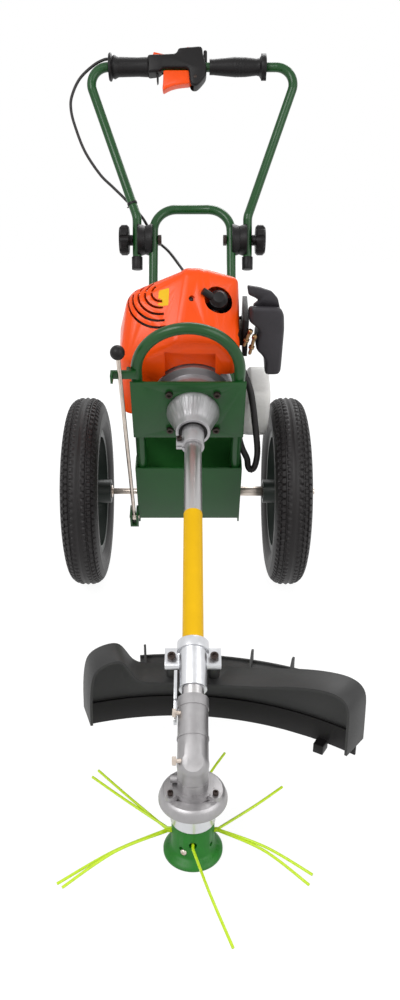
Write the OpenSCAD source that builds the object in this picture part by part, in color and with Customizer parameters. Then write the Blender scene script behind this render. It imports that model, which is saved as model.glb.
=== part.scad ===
// Wheeled string trimmer. A petrol engine on a two-wheeled tube frame drives a string head through a tilted
// tube.
// The origin is the middle of the string head's flat underside, on the ground. The head points to -Y, the
// handle to +Y.

/* [Wheels] */
// Outer diameter of the tyre
wheel_d = 370; // [330:5:400]
// Width of the tyre
tyre_w = 68; // [60:2:76]
// Diameter of the rim seat that the tyre sits on
rim_d = 232; // [210:4:250]
// Thickness of the tyre's wall
tyre_wall = 7; // [5:1:10]
// Distance between the middles of the two wheels
track = 388; // [380:2:440]
// Length of the wheel hub along the axle
hub_len = 88; // [70:2:94]
// Outer diameter of the wheel hub
hub_d = 46; // [36:2:60]
// Number of spokes in each rim
spokes = 5; // [4:1:8]
// Diameter of the axle
axle_d = 12; // [10:1:16]
// Sideways offset of the axle in the frame
axle_shift = -4; // [-8:1:8]

/* [Frame] */
// Diameter of the frame and handle tubes
frame_tube_d = 19; // [16:1:22]
// Wall of the frame and handle tubes
frame_wall = 1.5; // [1:0.1:2.5]
// Thickness of the folded sheet and of the engine plate
sheet = 3; // [2:0.5:4]
// Gap between the fan housing and the front hoop's legs
fan_gap = 5.8; // [4:0.2:12]
// Depth of the base box, front to back
box_depth = 126; // [110:2:150]
// Gap between the base box's front edge and the fuel tank
tank_gap = 7; // [5:1:12]
// How much lower the base box is at its back
box_fall = 54; // [40:2:66]
// How far the base box reaches below the axle
box_low = 17; // [14:1:26]
// Distance from the axle forward to the front of the box and plate
plate_front = 56; // [50:1:62]
// Height of the engine plate
plate_h = 124; // [116:2:140]
// Distance from the shaft's axis down to the engine plate's lower edge
plate_drop = 59.3; // [56:0.1:66]
// Rise of the front hoop's top above the shaft's axis
hoop_rise = 172.7; // [165:0.1:185]
// Tilt of the shaft and of the engine plate
tilt = 24.7; // [20:0.1:28]
// Sideways offset of the frame from the shaft
frame_x = -8; // [-12:1:0]

/* [Mast] */
// Half width between the rear hoop's legs, at their middles
mast_hw = 82; // [76:1:88]
// Reach of the rear hoop's top behind the axle, along the plate's normal
mast_back = 523; // [480:1:560]
// Height of the rear hoop's top above the axle, along the plate
mast_up = 320; // [290:1:350]
// Bend radius of the rear hoop's top corners
mast_bend = 48; // [40:1:60]
// Distance from the rear hoop's top bar down to the clamp axis, along the leg
clamp_drop = 70; // [64:1:90]
// Sideways offset of the mast in the frame
mast_shift = 6.5; // [0:0.5:10]

/* [Handle] */
// Half width between the handle's legs at the clamp
handle_hw = 117; // [114:1:122]
// Height of the handle's top bar above the clamp axis
handle_h = 354; // [320:2:400]
// Half width of the handle's top corners, at the crossing of the tube middles
handle_top_hw = 225; // [210:1:240]
// Height of the bend above the clamp axis
handle_knee = 48; // [44:1:60]
// Bend radius of the handle's top corners
handle_bend = 35; // [30:1:36]
// Length of the handle's legs below the clamp axis
handle_tail = 58; // [50:1:70]
// Lean of the handle from the upright
handle_lean = 18.7; // [10:0.1:30]
// Diameter of the clamp saddles
saddle_d = 66; // [50:2:70]
// Diameter of the clamp bolts
clamp_bolt_d = 8; // [6:1:10]
// Diameter of the star knobs
knob_d = 62; // [50:2:70]
// Thickness of the star knobs
knob_t = 20; // [16:1:24]

/* [Drive] */
// Diameter of the shaft tube
shaft_d = 28; // [26:1:30]
// Wall of the shaft tube
shaft_wall = 1.5; // [1:0.1:2.5]
// Distance from the axle up to the shaft's axis, along the plate
shaft_rise = 258.3; // [250:0.1:266]
// Diameter of the drive shaft inside the tube
drive_d = 8; // [6:1:10]
// Large diameter of the clutch housing's cone
clutch_d = 90; // [80:1:94]
// Small diameter of the clutch housing's cone
clutch_nose_d = 58; // [52:1:62]
// Length of the clutch housing in front of the plate
clutch_len = 52; // [46:1:60]
// Spacing of the plate's bolt square
bolt_pitch = 80; // [76:1:84]
// Diameter of the plate's bolts
bolt_d = 6; // [5:1:7]

/* [Cutter] */
// Height of the point where the shaft and the head's axis meet
knee_z = 134.5; // [126:0.5:146]
// Diameter of the gear case's barrels
gear_case_d = 38; // [36:1:42]
// Diameter of the shield below the gear case
shield_d = 84; // [76:1:96]
// Diameter of the string head's glide flange
glide_d = 74; // [66:1:90]
// Diameter of the string head's body
head_d = 53; // [48:1:56]
// Height of the string head
head_h = 52; // [46:1:56]
// Diameter of the metal collar on the head
collar_d = 56; // [50:1:62]
// Height of the metal collar
collar_h = 28; // [24:1:30]
// Diameter of the output arbor
arbor_d = 12; // [10:1:14]
// Diameter of the nylon line
line_d = 3.5; // [2.5:0.5:4]
// Radius of the guard's back wall, in plan
guard_r = 390; // [360:2:420]
// Depth of the guard's rolled band
guard_depth = 44; // [40:1:50]
// Height of the guard's back wall under the shaft
guard_wall_h = 57; // [50:1:66]
// Height of the guard's band above the ground, under the shaft
guard_top_z = 154; // [150:1:158]
// Thickness of the guard's plastic
guard_t = 3; // [2:0.5:4]
// Distance from the gear case's knee up the tube to the guard's bolts
guard_up = 146.4; // [140:0.2:156]

/* [Engine] */
// Wall of the engine cover
cover_t = 3; // [2:0.5:4]
// Radius of the fan housing
fan_r = 62; // [58:1:64]
// Radius of the starter housing
starter_r = 66; // [60:1:70]
// Radius of the crankcase
case_r = 54; // [50:1:58]
// Height of the fuel tank's wide part
tank_h = 58.3; // [50:0.1:66]

/* [Hidden] */
$fn = 48;

// Clearances
run_gap = 0.05;        // shaft in a running bore
seat_gap = 0.3;        // faces of two bodies beside each other
weld_gap = 0.2;        // tube lying along a sheet
hole_gap = 0.3;        // bolt in a plain hole
eps = 0.01;

// Colours
frame_green = "#1f5a2c";
paint_orange = "#f0501a";
soft_black = "#1c1c1e";
cast_grey = "#b4b4b6";

// Places worked out from the driving sizes
wheel_r = wheel_d/2;
frame_r = frame_tube_d/2;
crank_x = -frame_x;
knee_a = (wheel_r + shaft_rise*cos(tilt) - knee_z)/sin(tilt);
axle_y = shaft_rise*sin(tilt) + knee_a*cos(tilt);
hoop_hw = fan_r + crank_x + fan_gap + frame_r;
hoop_top = shaft_rise + hoop_rise;
hoop_arch_z = hoop_top - frame_r - hoop_hw;
hoop_y = -(plate_front - sheet - weld_gap - frame_r);
tank_drop = case_r + 18;
tank_low = shaft_rise - tank_drop - tank_h;
box_w = 2*(hoop_hw + frame_r + weld_gap + sheet);
box_h = tank_low - tank_gap + box_low;
box_back_h = box_h - box_fall;
box_back = box_depth - plate_front;
plate_low = shaft_rise - plate_drop;
mast_y = box_back + weld_gap + frame_r;
mast_foot = 32;
mast_dir = unit([0, mast_back - mast_y, mast_up - mast_foot]);
pivot_m = [0, mast_back, mast_up] - clamp_drop*mast_dir;
pivot = [frame_x + mast_shift, axle_y + pivot_m.y*cos(tilt) - pivot_m.z*sin(tilt),
    wheel_r + pivot_m.y*sin(tilt) + pivot_m.z*cos(tilt)];
mast_angle = tilt + atan2(mast_dir.z, mast_dir.y);
saddle_face = (mast_hw + handle_hw)/2;
bar_r = frame_r + run_gap;

function unit(v) = v/norm(v);
function from_tilted(p) = [frame_x + p.x, axle_y + p.y*cos(tilt) - p.z*sin(tilt), wheel_r + p.y*sin(tilt) + p.z*cos(tilt)];
function from_handle(p) = pivot + [p.x, p.y*cos(handle_lean) + p.z*sin(handle_lean),
    p.z*cos(handle_lean) - p.y*sin(handle_lean)];
function flip(p) = [-p.x, p.y, p.z];

// Places a child in the tilted frame: X across, Y back along the shaft, Z up the plate, from the middle of
// the axle
module tilted() {
    translate([frame_x, axle_y, wheel_r]) rotate([tilt, 0, 0]) children();
}

// Places a child on the shaft's axis: Z runs back along the shaft, from the axle's plane
module on_shaft() {
    tilted() translate([crank_x, 0, shaft_rise]) rotate([-90, 0, 0]) children();
}

// Places a child in the handle: X across, Z up the handle from the clamp axis
module at_handle() {
    translate(pivot) rotate([-handle_lean, 0, 0]) children();
}

// A round bar between two points
module rod(p, q, d) {
    v = q - p;
    translate(p) rotate([0, acos(v.z/norm(v)), atan2(v.y, v.x)]) cylinder(h = norm(v), d = d);
}

function turn(a, b) = acos(max(-1, min(1, a*b)));
function trim(pts, r, i) = i == 0 || i == len(pts) - 1 ? 0
    : r[i]*tan(turn(unit(pts[i] - pts[i - 1]), unit(pts[i + 1] - pts[i]))/2);

// One corner of a bent bar: a piece of torus between the directions a and b
module elbow(p, a, b, r, d) {
    n = unit(cross(a, b));
    start = p - a*r*tan(turn(a, b)/2);
    ex = -cross(n, a);
    c = start - ex*r;
    multmatrix([[ex.x, a.x, n.x, c.x], [ex.y, a.y, n.y, c.y], [ex.z, a.z, n.z, c.z], [0, 0, 0, 1]])
        rotate_extrude(angle = turn(a, b)) translate([r, 0]) circle(d = d);
}

// A bar bent along a list of points, with a bend radius at each; the bar swells a little in its bends
bend_swell = 0.12;
bend_lap = 2;
module bent_bar(pts, r, d) {
    for (i = [0:len(pts) - 2]) {
        u = unit(pts[i + 1] - pts[i]);
        rod(pts[i] + u*max(0, trim(pts, r, i) - bend_lap), pts[i + 1] - u*max(0, trim(pts, r, i + 1) - bend_lap), d);
    }
    for (i = [1:len(pts) - 2])
        elbow(pts[i], unit(pts[i] - pts[i - 1]), unit(pts[i + 1] - pts[i]), r[i], d + 2*bend_swell);
}

// A bent tube, open at both ends
module bent_tube(pts, r, d, wall) {
    n = len(pts) - 1;
    longer = [for (i = [0:n]) i == 0 ? pts[0] + unit(pts[0] - pts[1])
        : i == n ? pts[n] + unit(pts[n] - pts[n - 1]) : pts[i]];
    difference() {
        bent_bar(pts, r, d);
        bent_bar(longer, r, d - 2*wall);
    }
}

// Points on a smooth curve through a list of points, n steps to each stretch
function curve_at(a, b, c, d, t) = 0.5*((2*b) + (c - a)*t + (2*a - 5*b + 4*c - d)*t*t + (3*b - a - 3*c + d)*t*t*t);
function smooth(p, n) = let(e = len(p) - 1) [for (i = [0:e - 1], k = [0:n - 1])
    curve_at(p[max(i - 1, 0)], p[i], p[i + 1], p[min(i + 2, e)], k/n), p[e]];
function tangents(p) = let(e = len(p) - 1) [for (i = [0:e]) unit(p[min(i + 1, e)] - p[max(i - 1, 0)])];
function carry(t, u, i) = i == len(t) ? []
    : let(v = unit(u - (u*t[i])*t[i])) concat([v], carry(t, v, i + 1));
function rings(p, r, sides) = let(t = tangents(p), u = carry(t, abs(t[0].z) < 0.8 ? [0, 0, 1] : [1, 0, 0], 0))
    [for (i = [0:len(p) - 1], k = [0:sides - 1]) let(q = 360*k/sides)
        p[i] + r[i]*(cos(q)*u[i] + sin(q)*cross(t[i], u[i]))];
function walls(n, sides) = [for (i = [0:n - 2], k = [0:sides - 1], h = [0, 1])
    let(a = i*sides + k, b = i*sides + (k + 1) % sides)
    h == 0 ? [a, a + sides, b] : [b, a + sides, b + sides]];
function fan(first, sides, up) = [for (k = [1:sides - 2])
    up ? [first, first + k + 1, first + k] : [first, first + k, first + k + 1]];

// A round cord swept along points
module cord(p, d, sides) {
    n = len(p);
    polyhedron(rings(p, [for (q = p) d/2], sides),
        concat(walls(n, sides), fan(0, sides, false), fan((n - 1)*sides, sides, true)));
}

// Base box: folded and welded sheet tray with the axle holes and the lever's clevis
clevis_t = 4;
clevis_gap = 8;
lever_pin_d = 6;
lever_pin = [-(box_w/2 + clevis_t + clevis_gap/2), -(plate_front + 4), -8];
module base_box() {
    lip = 10;
    color(frame_green) tilted() difference() {
        union() {
            difference() {
                rotate([90, 0, 90]) translate([0, 0, -box_w/2]) linear_extrude(box_w)
                    polygon([[-plate_front, -box_low - lip], [-plate_front, box_h - box_low],
                        [-plate_front + 30, box_h - box_low], [box_back, box_back_h - box_low],
                        [box_back, -box_low - lip]]);
                translate([-box_w/2 + sheet, -plate_front + sheet, -box_low + sheet])
                    cube([box_w - 2*sheet, box_depth - 2*sheet, box_h]);
                translate([-box_w/2 + sheet, -plate_front - 1, -box_low - lip - 1])
                    cube([box_w - 2*sheet, box_depth + 2, lip + 1]);
            }
            clevis_w = 2*clevis_t + clevis_gap;
            translate([-box_w/2 - clevis_w, -plate_front - 14, -box_low - lip])
                difference() {
                    cube([clevis_w, 26, 34]);
                    translate([clevis_t, -1, clevis_t]) cube([clevis_gap, 28, 34]);
                }
        }
        rotate([0, 90, 0]) cylinder(h = box_w + 2, d = axle_d + 2*hole_gap, center = true);
        translate(lever_pin) rotate([0, 90, 0])
            cylinder(h = 2*clevis_t + clevis_gap + 2, d = lever_pin_d + 2*hole_gap, center = true);
    }
}

// Front hoop: an arched tube behind the plate, with the lever's keeper welded to its left leg
keeper_t = 4;
keeper_z = hoop_arch_z - 6.2;
keeper_h = 16;
keeper_reach = 32;
module front_hoop() {
    foot = -box_low + sheet;
    color(frame_green) tilted() {
        difference() {
            union() {
                translate([0, hoop_y, hoop_arch_z]) rotate([90, 0, 0]) rotate_extrude(angle = 180)
                    translate([hoop_hw, 0]) circle(r = frame_r);
                for (s = [-1, 1])
                    translate([s*hoop_hw, hoop_y, foot]) cylinder(h = hoop_arch_z - foot, r = frame_r);
            }
            translate([0, hoop_y, hoop_arch_z]) rotate([90, 0, 0]) rotate_extrude(angle = 180)
                translate([hoop_hw, 0]) circle(r = frame_r - frame_wall);
            for (s = [-1, 1])
                translate([s*hoop_hw, hoop_y, foot - 1])
                    cylinder(h = hoop_arch_z - foot + 1, r = frame_r - frame_wall);
        }
        // Keeper: a strap from the leg, hooked forward at its free end
        difference() {
            translate([-hoop_hw - frame_r - keeper_reach, -plate_front, keeper_z])
                cube([keeper_reach + frame_r, keeper_t, keeper_h]);
            translate([-hoop_hw, hoop_y, keeper_z - 1]) cylinder(h = keeper_h + 2, r = frame_r - eps);
        }
        translate([-hoop_hw - frame_r - keeper_reach, -plate_front - 12, keeper_z])
            cube([keeper_t, 12 + eps, keeper_h]);
        difference() {
            translate([-hoop_hw - frame_r - 6, -plate_front, keeper_z])
                cube([12, plate_front + hoop_y, keeper_h]);
            translate([-hoop_hw, hoop_y, keeper_z - 1]) cylinder(h = keeper_h + 2, r = frame_r - eps);
        }
    }
}

// Engine plate: the flat plate that the engine and the clutch housing bolt to
plate_w = box_w - 3;
module engine_plate() {
    color(frame_green) tilted() difference() {
        translate([-plate_w/2, -plate_front, plate_low]) cube([plate_w, sheet, plate_h]);
        translate([crank_x, -plate_front - 1, shaft_rise]) rotate([-90, 0, 0])
            cylinder(h = sheet + 2, d = clutch_d - 14);
        for (x = [-1, 1], z = [-1, 1])
            translate([crank_x + x*bolt_pitch/2, -plate_front - 1, shaft_rise + z*bolt_pitch/2])
                rotate([-90, 0, 0])
                cylinder(h = sheet + 2, d = bolt_d + 2*hole_gap);
    }
}

// Rear hoop: the mast, welded to the box's back wall and bent back and up to a round-cornered top bar
module rear_hoop() {
    left = [[-mast_hw, mast_y, -box_low + 6], [-mast_hw, mast_y, mast_foot], [-mast_hw, mast_back, mast_up]];
    pts = [left[0], left[1], left[2], flip(left[2]), flip(left[1]), flip(left[0])];
    color(frame_green) tilted() translate([mast_shift, 0, 0]) difference() {
        bent_tube(pts, [0, 45, mast_bend, mast_bend, 45, 0], frame_tube_d, frame_wall);
        translate(pivot_m) rotate([0, 90, 0])
            cylinder(h = 2*mast_hw + 4*frame_r, d = clamp_bolt_d + 2*hole_gap, center = true);
    }
}

// Axle: a plain steel bar through the box, threaded at its ends
washer_t = 2;
nut_t = 10;
hub_end = track/2 + hub_len/2;
module axle() {
    reach = hub_end + seat_gap + washer_t + nut_t + 3;
    color(cast_grey) translate([frame_x + axle_shift, axle_y, wheel_r]) rotate([0, 90, 0])
        cylinder(h = 2*reach, d = axle_d, center = true);
}

// Axle hardware: the right spacer, the washers and the nuts
module axle_hardware() {
    inner = track/2 - hub_len/2 - seat_gap;
    right_wall = box_w/2 - axle_shift;
    color(cast_grey) translate([frame_x + axle_shift, axle_y, wheel_r]) rotate([0, 90, 0]) {
        difference() {
            translate([0, 0, right_wall]) cylinder(h = inner - right_wall, d = axle_d + 7);
            translate([0, 0, right_wall - 1]) cylinder(h = inner - right_wall + 2, d = axle_d + 2*run_gap);
        }
        for (s = [-1, 1]) difference() {
            union() {
                translate([0, 0, s*(hub_end + seat_gap + washer_t/2)])
                    cylinder(h = washer_t, d = 2*axle_d, center = true);
                translate([0, 0, s*(hub_end + seat_gap + washer_t + nut_t/2)])
                    cylinder(h = nut_t, d = 1.73*axle_d, center = true, $fn = 6);
            }
            cylinder(h = 4*hub_end, d = axle_d, center = true);
        }
        difference() {
            translate([0, 0, -inner]) cylinder(h = washer_t, d = 2*axle_d);
            translate([0, 0, -inner - 1]) cylinder(h = washer_t + 2, d = axle_d);
        }
    }
}

// Screws: the plate's bolts, the tube collar's clamp screw, the guard's bolts and the gear case's screws
ear_x = 28;
guard_a = knee_a - guard_up;
boss_d = 16;
flange_hole_r = 31;
flange_z = knee_z - 37.5;
socket_r = shaft_d/2 + 4.5;
collar_len = 58;
collar_back = -(plate_front + clutch_len - 24);
lug_h = 14;
lug_w = 18;
lug_screw_d = 5;
module screw(d, head_d, head_h, shank) {
    cylinder(h = shank, d = d);
    difference() {
        translate([0, 0, -head_h]) cylinder(h = head_h, d = head_d);
        translate([0, 0, -head_h - eps]) cylinder(h = head_h*0.6, d = head_d*0.6, $fn = 6);
    }
}
module screws() {
    color("#3a3a3c") {
        tilted() for (x = [-1, 1], z = [-1, 1])
            translate([crank_x + x*bolt_pitch/2, -plate_front, shaft_rise + z*bolt_pitch/2]) rotate([-90, 0, 0])
                screw(bolt_d, 2*bolt_d, 0.9*bolt_d, sheet + 12);
        for (s = [-1, 1])
            tilted() translate([crank_x + s*ear_x, -guard_a, shaft_rise - 2]) rotate([180, 0, 0])
                screw(6, 11, 6, ear_t + 7);
        for (q = [90, 210, 330]) rotate([0, 0, q])
            translate([flange_hole_r, 0, flange_z + 6]) rotate([180, 0, 0]) screw(4, 7, 4, 9);
        on_shaft() translate([-socket_r - 4, -lug_h/2, collar_back - collar_len + 2 + lug_w/2])
            rotate([-90, 0, 0])
            screw(lug_screw_d, 1.8*lug_screw_d, lug_screw_d, lug_h);
    }
}

// Clutch housing: a cast cone on the plate, open at its nose
module clutch_housing() {
    t = 5;
    big = clutch_d/2;
    nose = clutch_nose_d/2;
    color(cast_grey) on_shaft() translate([0, 0, -plate_front]) rotate([180, 0, 0]) rotate_extrude()
        polygon([[big - t, 0], [big, 0], [big, 4], [nose, clutch_len - 10], [nose, clutch_len],
            [nose - t, clutch_len], [nose - t, clutch_len - 24], [nose - t - 6, clutch_len - 24],
            [nose - t - 6, clutch_len - 27], [drum_r + 2, drum_len + 2], [big - t - 3, 4]]);
}

// Clutch bush: the rubber ring that holds the tube's collar in the clutch housing
bush_len = 22;
module clutch_bush() {
    color(soft_black) on_shaft() translate([0, 0, -plate_front - clutch_len + 24 - bush_len]) difference() {
        cylinder(h = bush_len, r = clutch_nose_d/2 - 5);
        translate([0, 0, -1]) cylinder(h = bush_len + 2, r = socket_r);
    }
}

// Tube collar: the split metal socket that grips the tube's end
module tube_collar() {
    color(cast_grey) on_shaft() difference() {
        union() {
            translate([0, 0, collar_back - collar_len]) cylinder(h = collar_len, r = socket_r);
            translate([-socket_r - 9, -lug_h/2, collar_back - collar_len + 2]) cube([12, lug_h, lug_w]);
        }
        translate([0, 0, collar_back - collar_len - 1]) cylinder(h = collar_len + 2, d = shaft_d);
        translate([-socket_r - 10, -1, collar_back - collar_len - 1])
            cube([socket_r + 10 - shaft_d/2 + 1, 2, 26]);
        translate([-socket_r - 4, 0, collar_back - collar_len + 2 + lug_w/2]) rotate([90, 0, 0])
            cylinder(h = 30, d = lug_screw_d, center = true);
    }
}

// Shaft tube: the long aluminium tube from the clutch to the gear case
tube_back = plate_front + clutch_len - 22;
socket_len = 40;
barrel_len = 84;
tube_end = knee_a - barrel_len + socket_len;
module shaft_tube() {
    color("#c8c8ca") on_shaft() translate([0, 0, -tube_end]) difference() {
        cylinder(h = tube_end - tube_back, d = shaft_d);
        translate([0, 0, -1]) cylinder(h = tube_end - tube_back + 2, d = shaft_d - 2*shaft_wall);
    }
}

// Drive shaft: the steel bar inside the tube, with the clutch drum at its back
drum_r = clutch_d/2 - 13;
drum_len = 14;
drive_end = knee_a - 16;
module drive_shaft() {
    color("#8a8a8e") on_shaft() {
        translate([0, 0, -drive_end]) cylinder(h = drive_end - plate_front + sheet, d = drive_d);
        translate([0, 0, -plate_front - drum_len]) difference() {
            cylinder(h = drum_len, r = drum_r);
            translate([0, 0, 3]) cylinder(h = drum_len, r = drum_r - 3);
        }
    }
}

// Guard clamp: a cast sleeve on the tube with two bolt ears
sleeve_r = shaft_d/2 + 4;
sleeve_len = 68;
ear_t = 10;
module guard_clamp() {
    color(cast_grey) tilted() translate([crank_x, -guard_a, shaft_rise]) difference() {
        union() {
            translate([0, 20, 0]) rotate([90, 0, 0]) cylinder(h = sleeve_len, r = sleeve_r);
            translate([-ear_x - 9, -12, -ear_t - 2]) cube([2*ear_x + 18, 26, ear_t]);
            translate([0, 20, 0]) rotate([90, 0, 0]) cylinder(h = 14, r = sleeve_r + 3);
        }
        translate([0, 21, 0]) rotate([90, 0, 0]) cylinder(h = sleeve_len + 2, d = shaft_d);
        for (s = [-1, 1]) translate([s*ear_x, 0, -ear_t - 3]) cylinder(h = ear_t + 4, d = 6 + 2*hole_gap);
    }
}

// Guard strap: the flat bar from the clamp's left side to the gear case
strap_t = 4;
module guard_strap() {
    z0 = -7;
    color(cast_grey) tilted() translate([crank_x - gear_case_d/2 - 1 - weld_gap - strap_t, -guard_a - 64, shaft_rise + z0])
        difference() {
            union() {
                cube([strap_t, 40, 14]);
                translate([0, -26, -6]) cube([strap_t, 30, 14]);
            }
            translate([-1, -16, 1]) rotate([0, 90, 0]) cylinder(h = strap_t + 2, d = 5);
        }
}

// Guard: a curved back wall under a deep rolled band, high at both ends and low under the shaft, with a
// shelf behind
guard_c = [-24, 178 - guard_r];
wall_inset = 0.4;
band_t = guard_t + 1;
guard_low = guard_top_z - guard_wall_h;
// The band's line round the wall: angle in plan, and height above the band's middle
band_line = [[109, -guard_wall_h + 1], [108.8, -16], [108.2, 14], [107.2, 28], [105.3, 36], [102.7, 39.5],
    [101.1, 36],
    [99.9, 25], [98.7, 12], [97, 4.5], [94, 1], [89, 0], [83, -1], [77, 2], [71, 7.5], [65, 17], [60, 24.5],
        [56, 28.5],
    [53.6, 27.5], [52, 22], [51.1, 10], [50.9, -16], [50.8, -guard_wall_h + 1]];
guard_from = band_line[len(band_line) - 1][0];
guard_to = band_line[0][0];
function in_plan(r, q, z) = [guard_c.x + r*cos(q), guard_c.y + r*sin(q), z];
function wall_top(q) = guard_top_z + lookup(q, band_line);
module arc_wall(r_in, r_out, z0, h, a0, a1) {
    translate([guard_c.x, guard_c.y, z0]) rotate([0, 0, a0]) rotate_extrude(angle = a1 - a0)
        translate([r_in, 0]) square([r_out - r_in, h]);
}
module guard_band() {
    line = smooth(band_line, 3);
    n = len(line);
    per_degree = PI*guard_r/180;
    way = [for (i = [0:n - 1]) let(a = line[max(i - 1, 0)], b = line[min(i + 1, n - 1)])
        unit([(a[0] - b[0])*per_degree, b[1] - a[1]])];
    inner = [for (i = [0:n - 1]) [line[i][0] - band_t*way[i][1]/per_degree, line[i][1] - band_t*way[i][0]]];
    front = guard_r - guard_depth;
    pts = [for (i = [0:n - 1]) each [in_plan(guard_r, line[i][0], guard_top_z + line[i][1]),
        in_plan(front, line[i][0], guard_top_z + line[i][1]), in_plan(front, inner[i][0], guard_top_z + inner[i][1]),
        in_plan(guard_r, inner[i][0], guard_top_z + inner[i][1])]];
    polyhedron(pts, concat(walls(n, 4), fan(0, 4, false), fan((n - 1)*4, 4, true)));
}
module guard_wall() {
    steps = 40;
    edge = 0.3;
    out = guard_r - wall_inset;
    pts = [for (i = [0:steps]) let(q = guard_to - edge - (guard_to - guard_from - 2*edge)*i/steps, top = wall_top(q) - band_t/2)
        each [in_plan(out, q, guard_low), in_plan(out, q, top), in_plan(out - guard_t, q, top),
            in_plan(out - guard_t, q, guard_low)]];
    polyhedron(pts, concat(walls(steps + 1, 4), fan(0, 4, false), fan(4*steps, 4, true)));
}
shelf_d = 22;
shelf_from = 64;
shelf_to = 97;
module guard() {
    color("#4a4c4e") difference() {
        union() {
            guard_band();
            guard_wall();
            // shelf behind the wall, with an upturned back edge and fins
            translate([guard_c.x, guard_c.y, guard_top_z - 12.7]) rotate([0, 0, shelf_from])
                rotate_extrude(angle = shelf_to - shelf_from) polygon([[guard_r - 2, 8],
                    [guard_r + shelf_d - guard_t, 8],
                    [guard_r + shelf_d - guard_t, 0], [guard_r + shelf_d, 0], [guard_r + shelf_d, 14],
                    [guard_r + shelf_d - guard_t, 14], [guard_r + shelf_d - guard_t, 11], [guard_r - 2, 11]]);
            for (q = [67, 75, 96])
                translate([guard_c.x, guard_c.y, guard_top_z - 3.7]) rotate([0, 0, q])
                    translate([guard_r + 1, guard_t/2, 0])
                    rotate([90, 0, 0]) linear_extrude(guard_t) polygon([[0, 0], [shelf_d - 1, 0],
                        [shelf_d - 1, 22], [shelf_d - 6, 22]]);
            // bosses up to the clamp's ears
            for (s = [-1, 1]) intersection() {
                tilted() translate([crank_x + s*ear_x, -guard_a, shaft_rise - ear_t - 2 - 60])
                    cylinder(h = 60, d = boss_d);
                translate([-guard_r, 0, guard_top_z - 2]) cube([2*guard_r, guard_r, guard_r]);
            }
        }
        for (s = [-1, 1])
            tilted() translate([crank_x + s*ear_x, -guard_a, shaft_rise - ear_t - 2 - 8])
                cylinder(h = 20, d = 6);
    }
}

// Guard skirt: the dark extension inside the wall's lower edge, with the line limiter's block
skirt_h = 34;
skirt_lap = 8;
module guard_skirt() {
    out = guard_r - wall_inset - guard_t - weld_gap;
    low = guard_low + skirt_lap - skirt_h;
    color(soft_black) {
        arc_wall(out - guard_t, out, low, skirt_h, guard_from + 1, guard_to - 1);
        translate([guard_c.x, guard_c.y, low - 8]) rotate([0, 0, guard_from + 8])
            translate([out - guard_t - 16, -7, 0]) cube([18, 14, 14]);
    }
}

// Gear case: the cast elbow that carries the tube's end, the bevel drive and the output arbor
module gear_case() {
    r = gear_case_d/2;
    lobes = flange_hole_r;
    color(cast_grey) difference() {
        union() {
            on_shaft() translate([0, 0, -knee_a]) cylinder(h = barrel_len, r = r);
            on_shaft() translate([0, 0, -knee_a + barrel_len - 14]) cylinder(h = 14, r = r + 1);
            on_shaft() translate([0, 0, -knee_a + 30]) cylinder(h = 3, r = r + 0.8);
            translate([0, 0, knee_z]) sphere(r = r + 0.6, $fn = 64);
            translate([0, 0, flange_z]) cylinder(h = knee_z - flange_z, r = r);
            translate([0, 0, flange_z + 16]) cylinder(h = 3, r = r + 0.8);
            // three-lobed flange
            translate([0, 0, flange_z]) cylinder(h = 6, r = r + 6);
            for (q = [90, 210, 330]) rotate([0, 0, q]) {
                translate([lobes, 0, flange_z]) cylinder(h = 6, r = 7);
                translate([arbor_d, -6.5, flange_z]) cube([lobes - arbor_d, 13, 6]);
            }
            // side screw boss
            translate([-r - 8, 4, flange_z + 12]) rotate([0, 90, 0]) cylinder(h = 14, d = 10);
        }
        // flat on the elbow's brow
        translate([0, 0, knee_z]) rotate([35, 0, 0]) translate([-50, -50, r - 4]) cube([100, 100, 50]);
        on_shaft() translate([0, 0, -tube_end]) cylinder(h = 100, d = shaft_d);
        on_shaft() translate([0, 0, -drive_end - 2]) cylinder(h = 100, d = drive_d + 2*run_gap);
        translate([0, 0, flange_z - 1]) cylinder(h = 22, d = arbor_d + 2*run_gap);
        for (q = [90, 210, 330]) rotate([0, 0, q]) translate([lobes, 0, flange_z - 1])
            cylinder(h = 8, d = 4 + 2*hole_gap);
    }
}

// Gear shield: the cup under the gear case that keeps grass out of the arbor
shield_h = 14;
module gear_shield() {
    r = shield_d/2;
    color(cast_grey) difference() {
        translate([0, 0, flange_z - shield_h]) rotate_extrude()
            polygon([[arbor_d/2 + 1, shield_h - 4], [r - 5, shield_h - 4], [r - 3, 0], [r, 0], [r, 3],
                [r - 3, shield_h - 3],
                [r - 6, shield_h], [arbor_d/2 + 1, shield_h]]);
        for (q = [90, 210, 330]) rotate([0, 0, q])
            translate([flange_hole_r, 0, flange_z - shield_h]) cylinder(h = shield_h + 1, d = 4 + 2*hole_gap);
    }
}

// Arbor: the output shaft, from the gear case down into the string head
head_bore_z = 12;
module arbor() {
    color("#8a8a8e") translate([0, 0, head_bore_z]) cylinder(h = flange_z + 20 - head_bore_z, d = arbor_d);
}

// Head collar: the turned metal adapter on top of the string head
module head_collar() {
    color("#d0d0d2") translate([0, 0, head_h]) difference() {
        rotate_extrude() polygon([[arbor_d/2, 0], [collar_d/2 - 1.5, 0], [collar_d/2, 1.5],
            [collar_d/2, collar_h - 5],
            [collar_d/2 + 1.5, collar_h - 5], [collar_d/2 + 1.5, collar_h], [arbor_d/2, collar_h]]);
        for (q = [45, 225]) rotate([0, 0, q]) translate([collar_d/2 - 12, 0, -1]) cylinder(h = 12, d = 5);
    }
}

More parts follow.
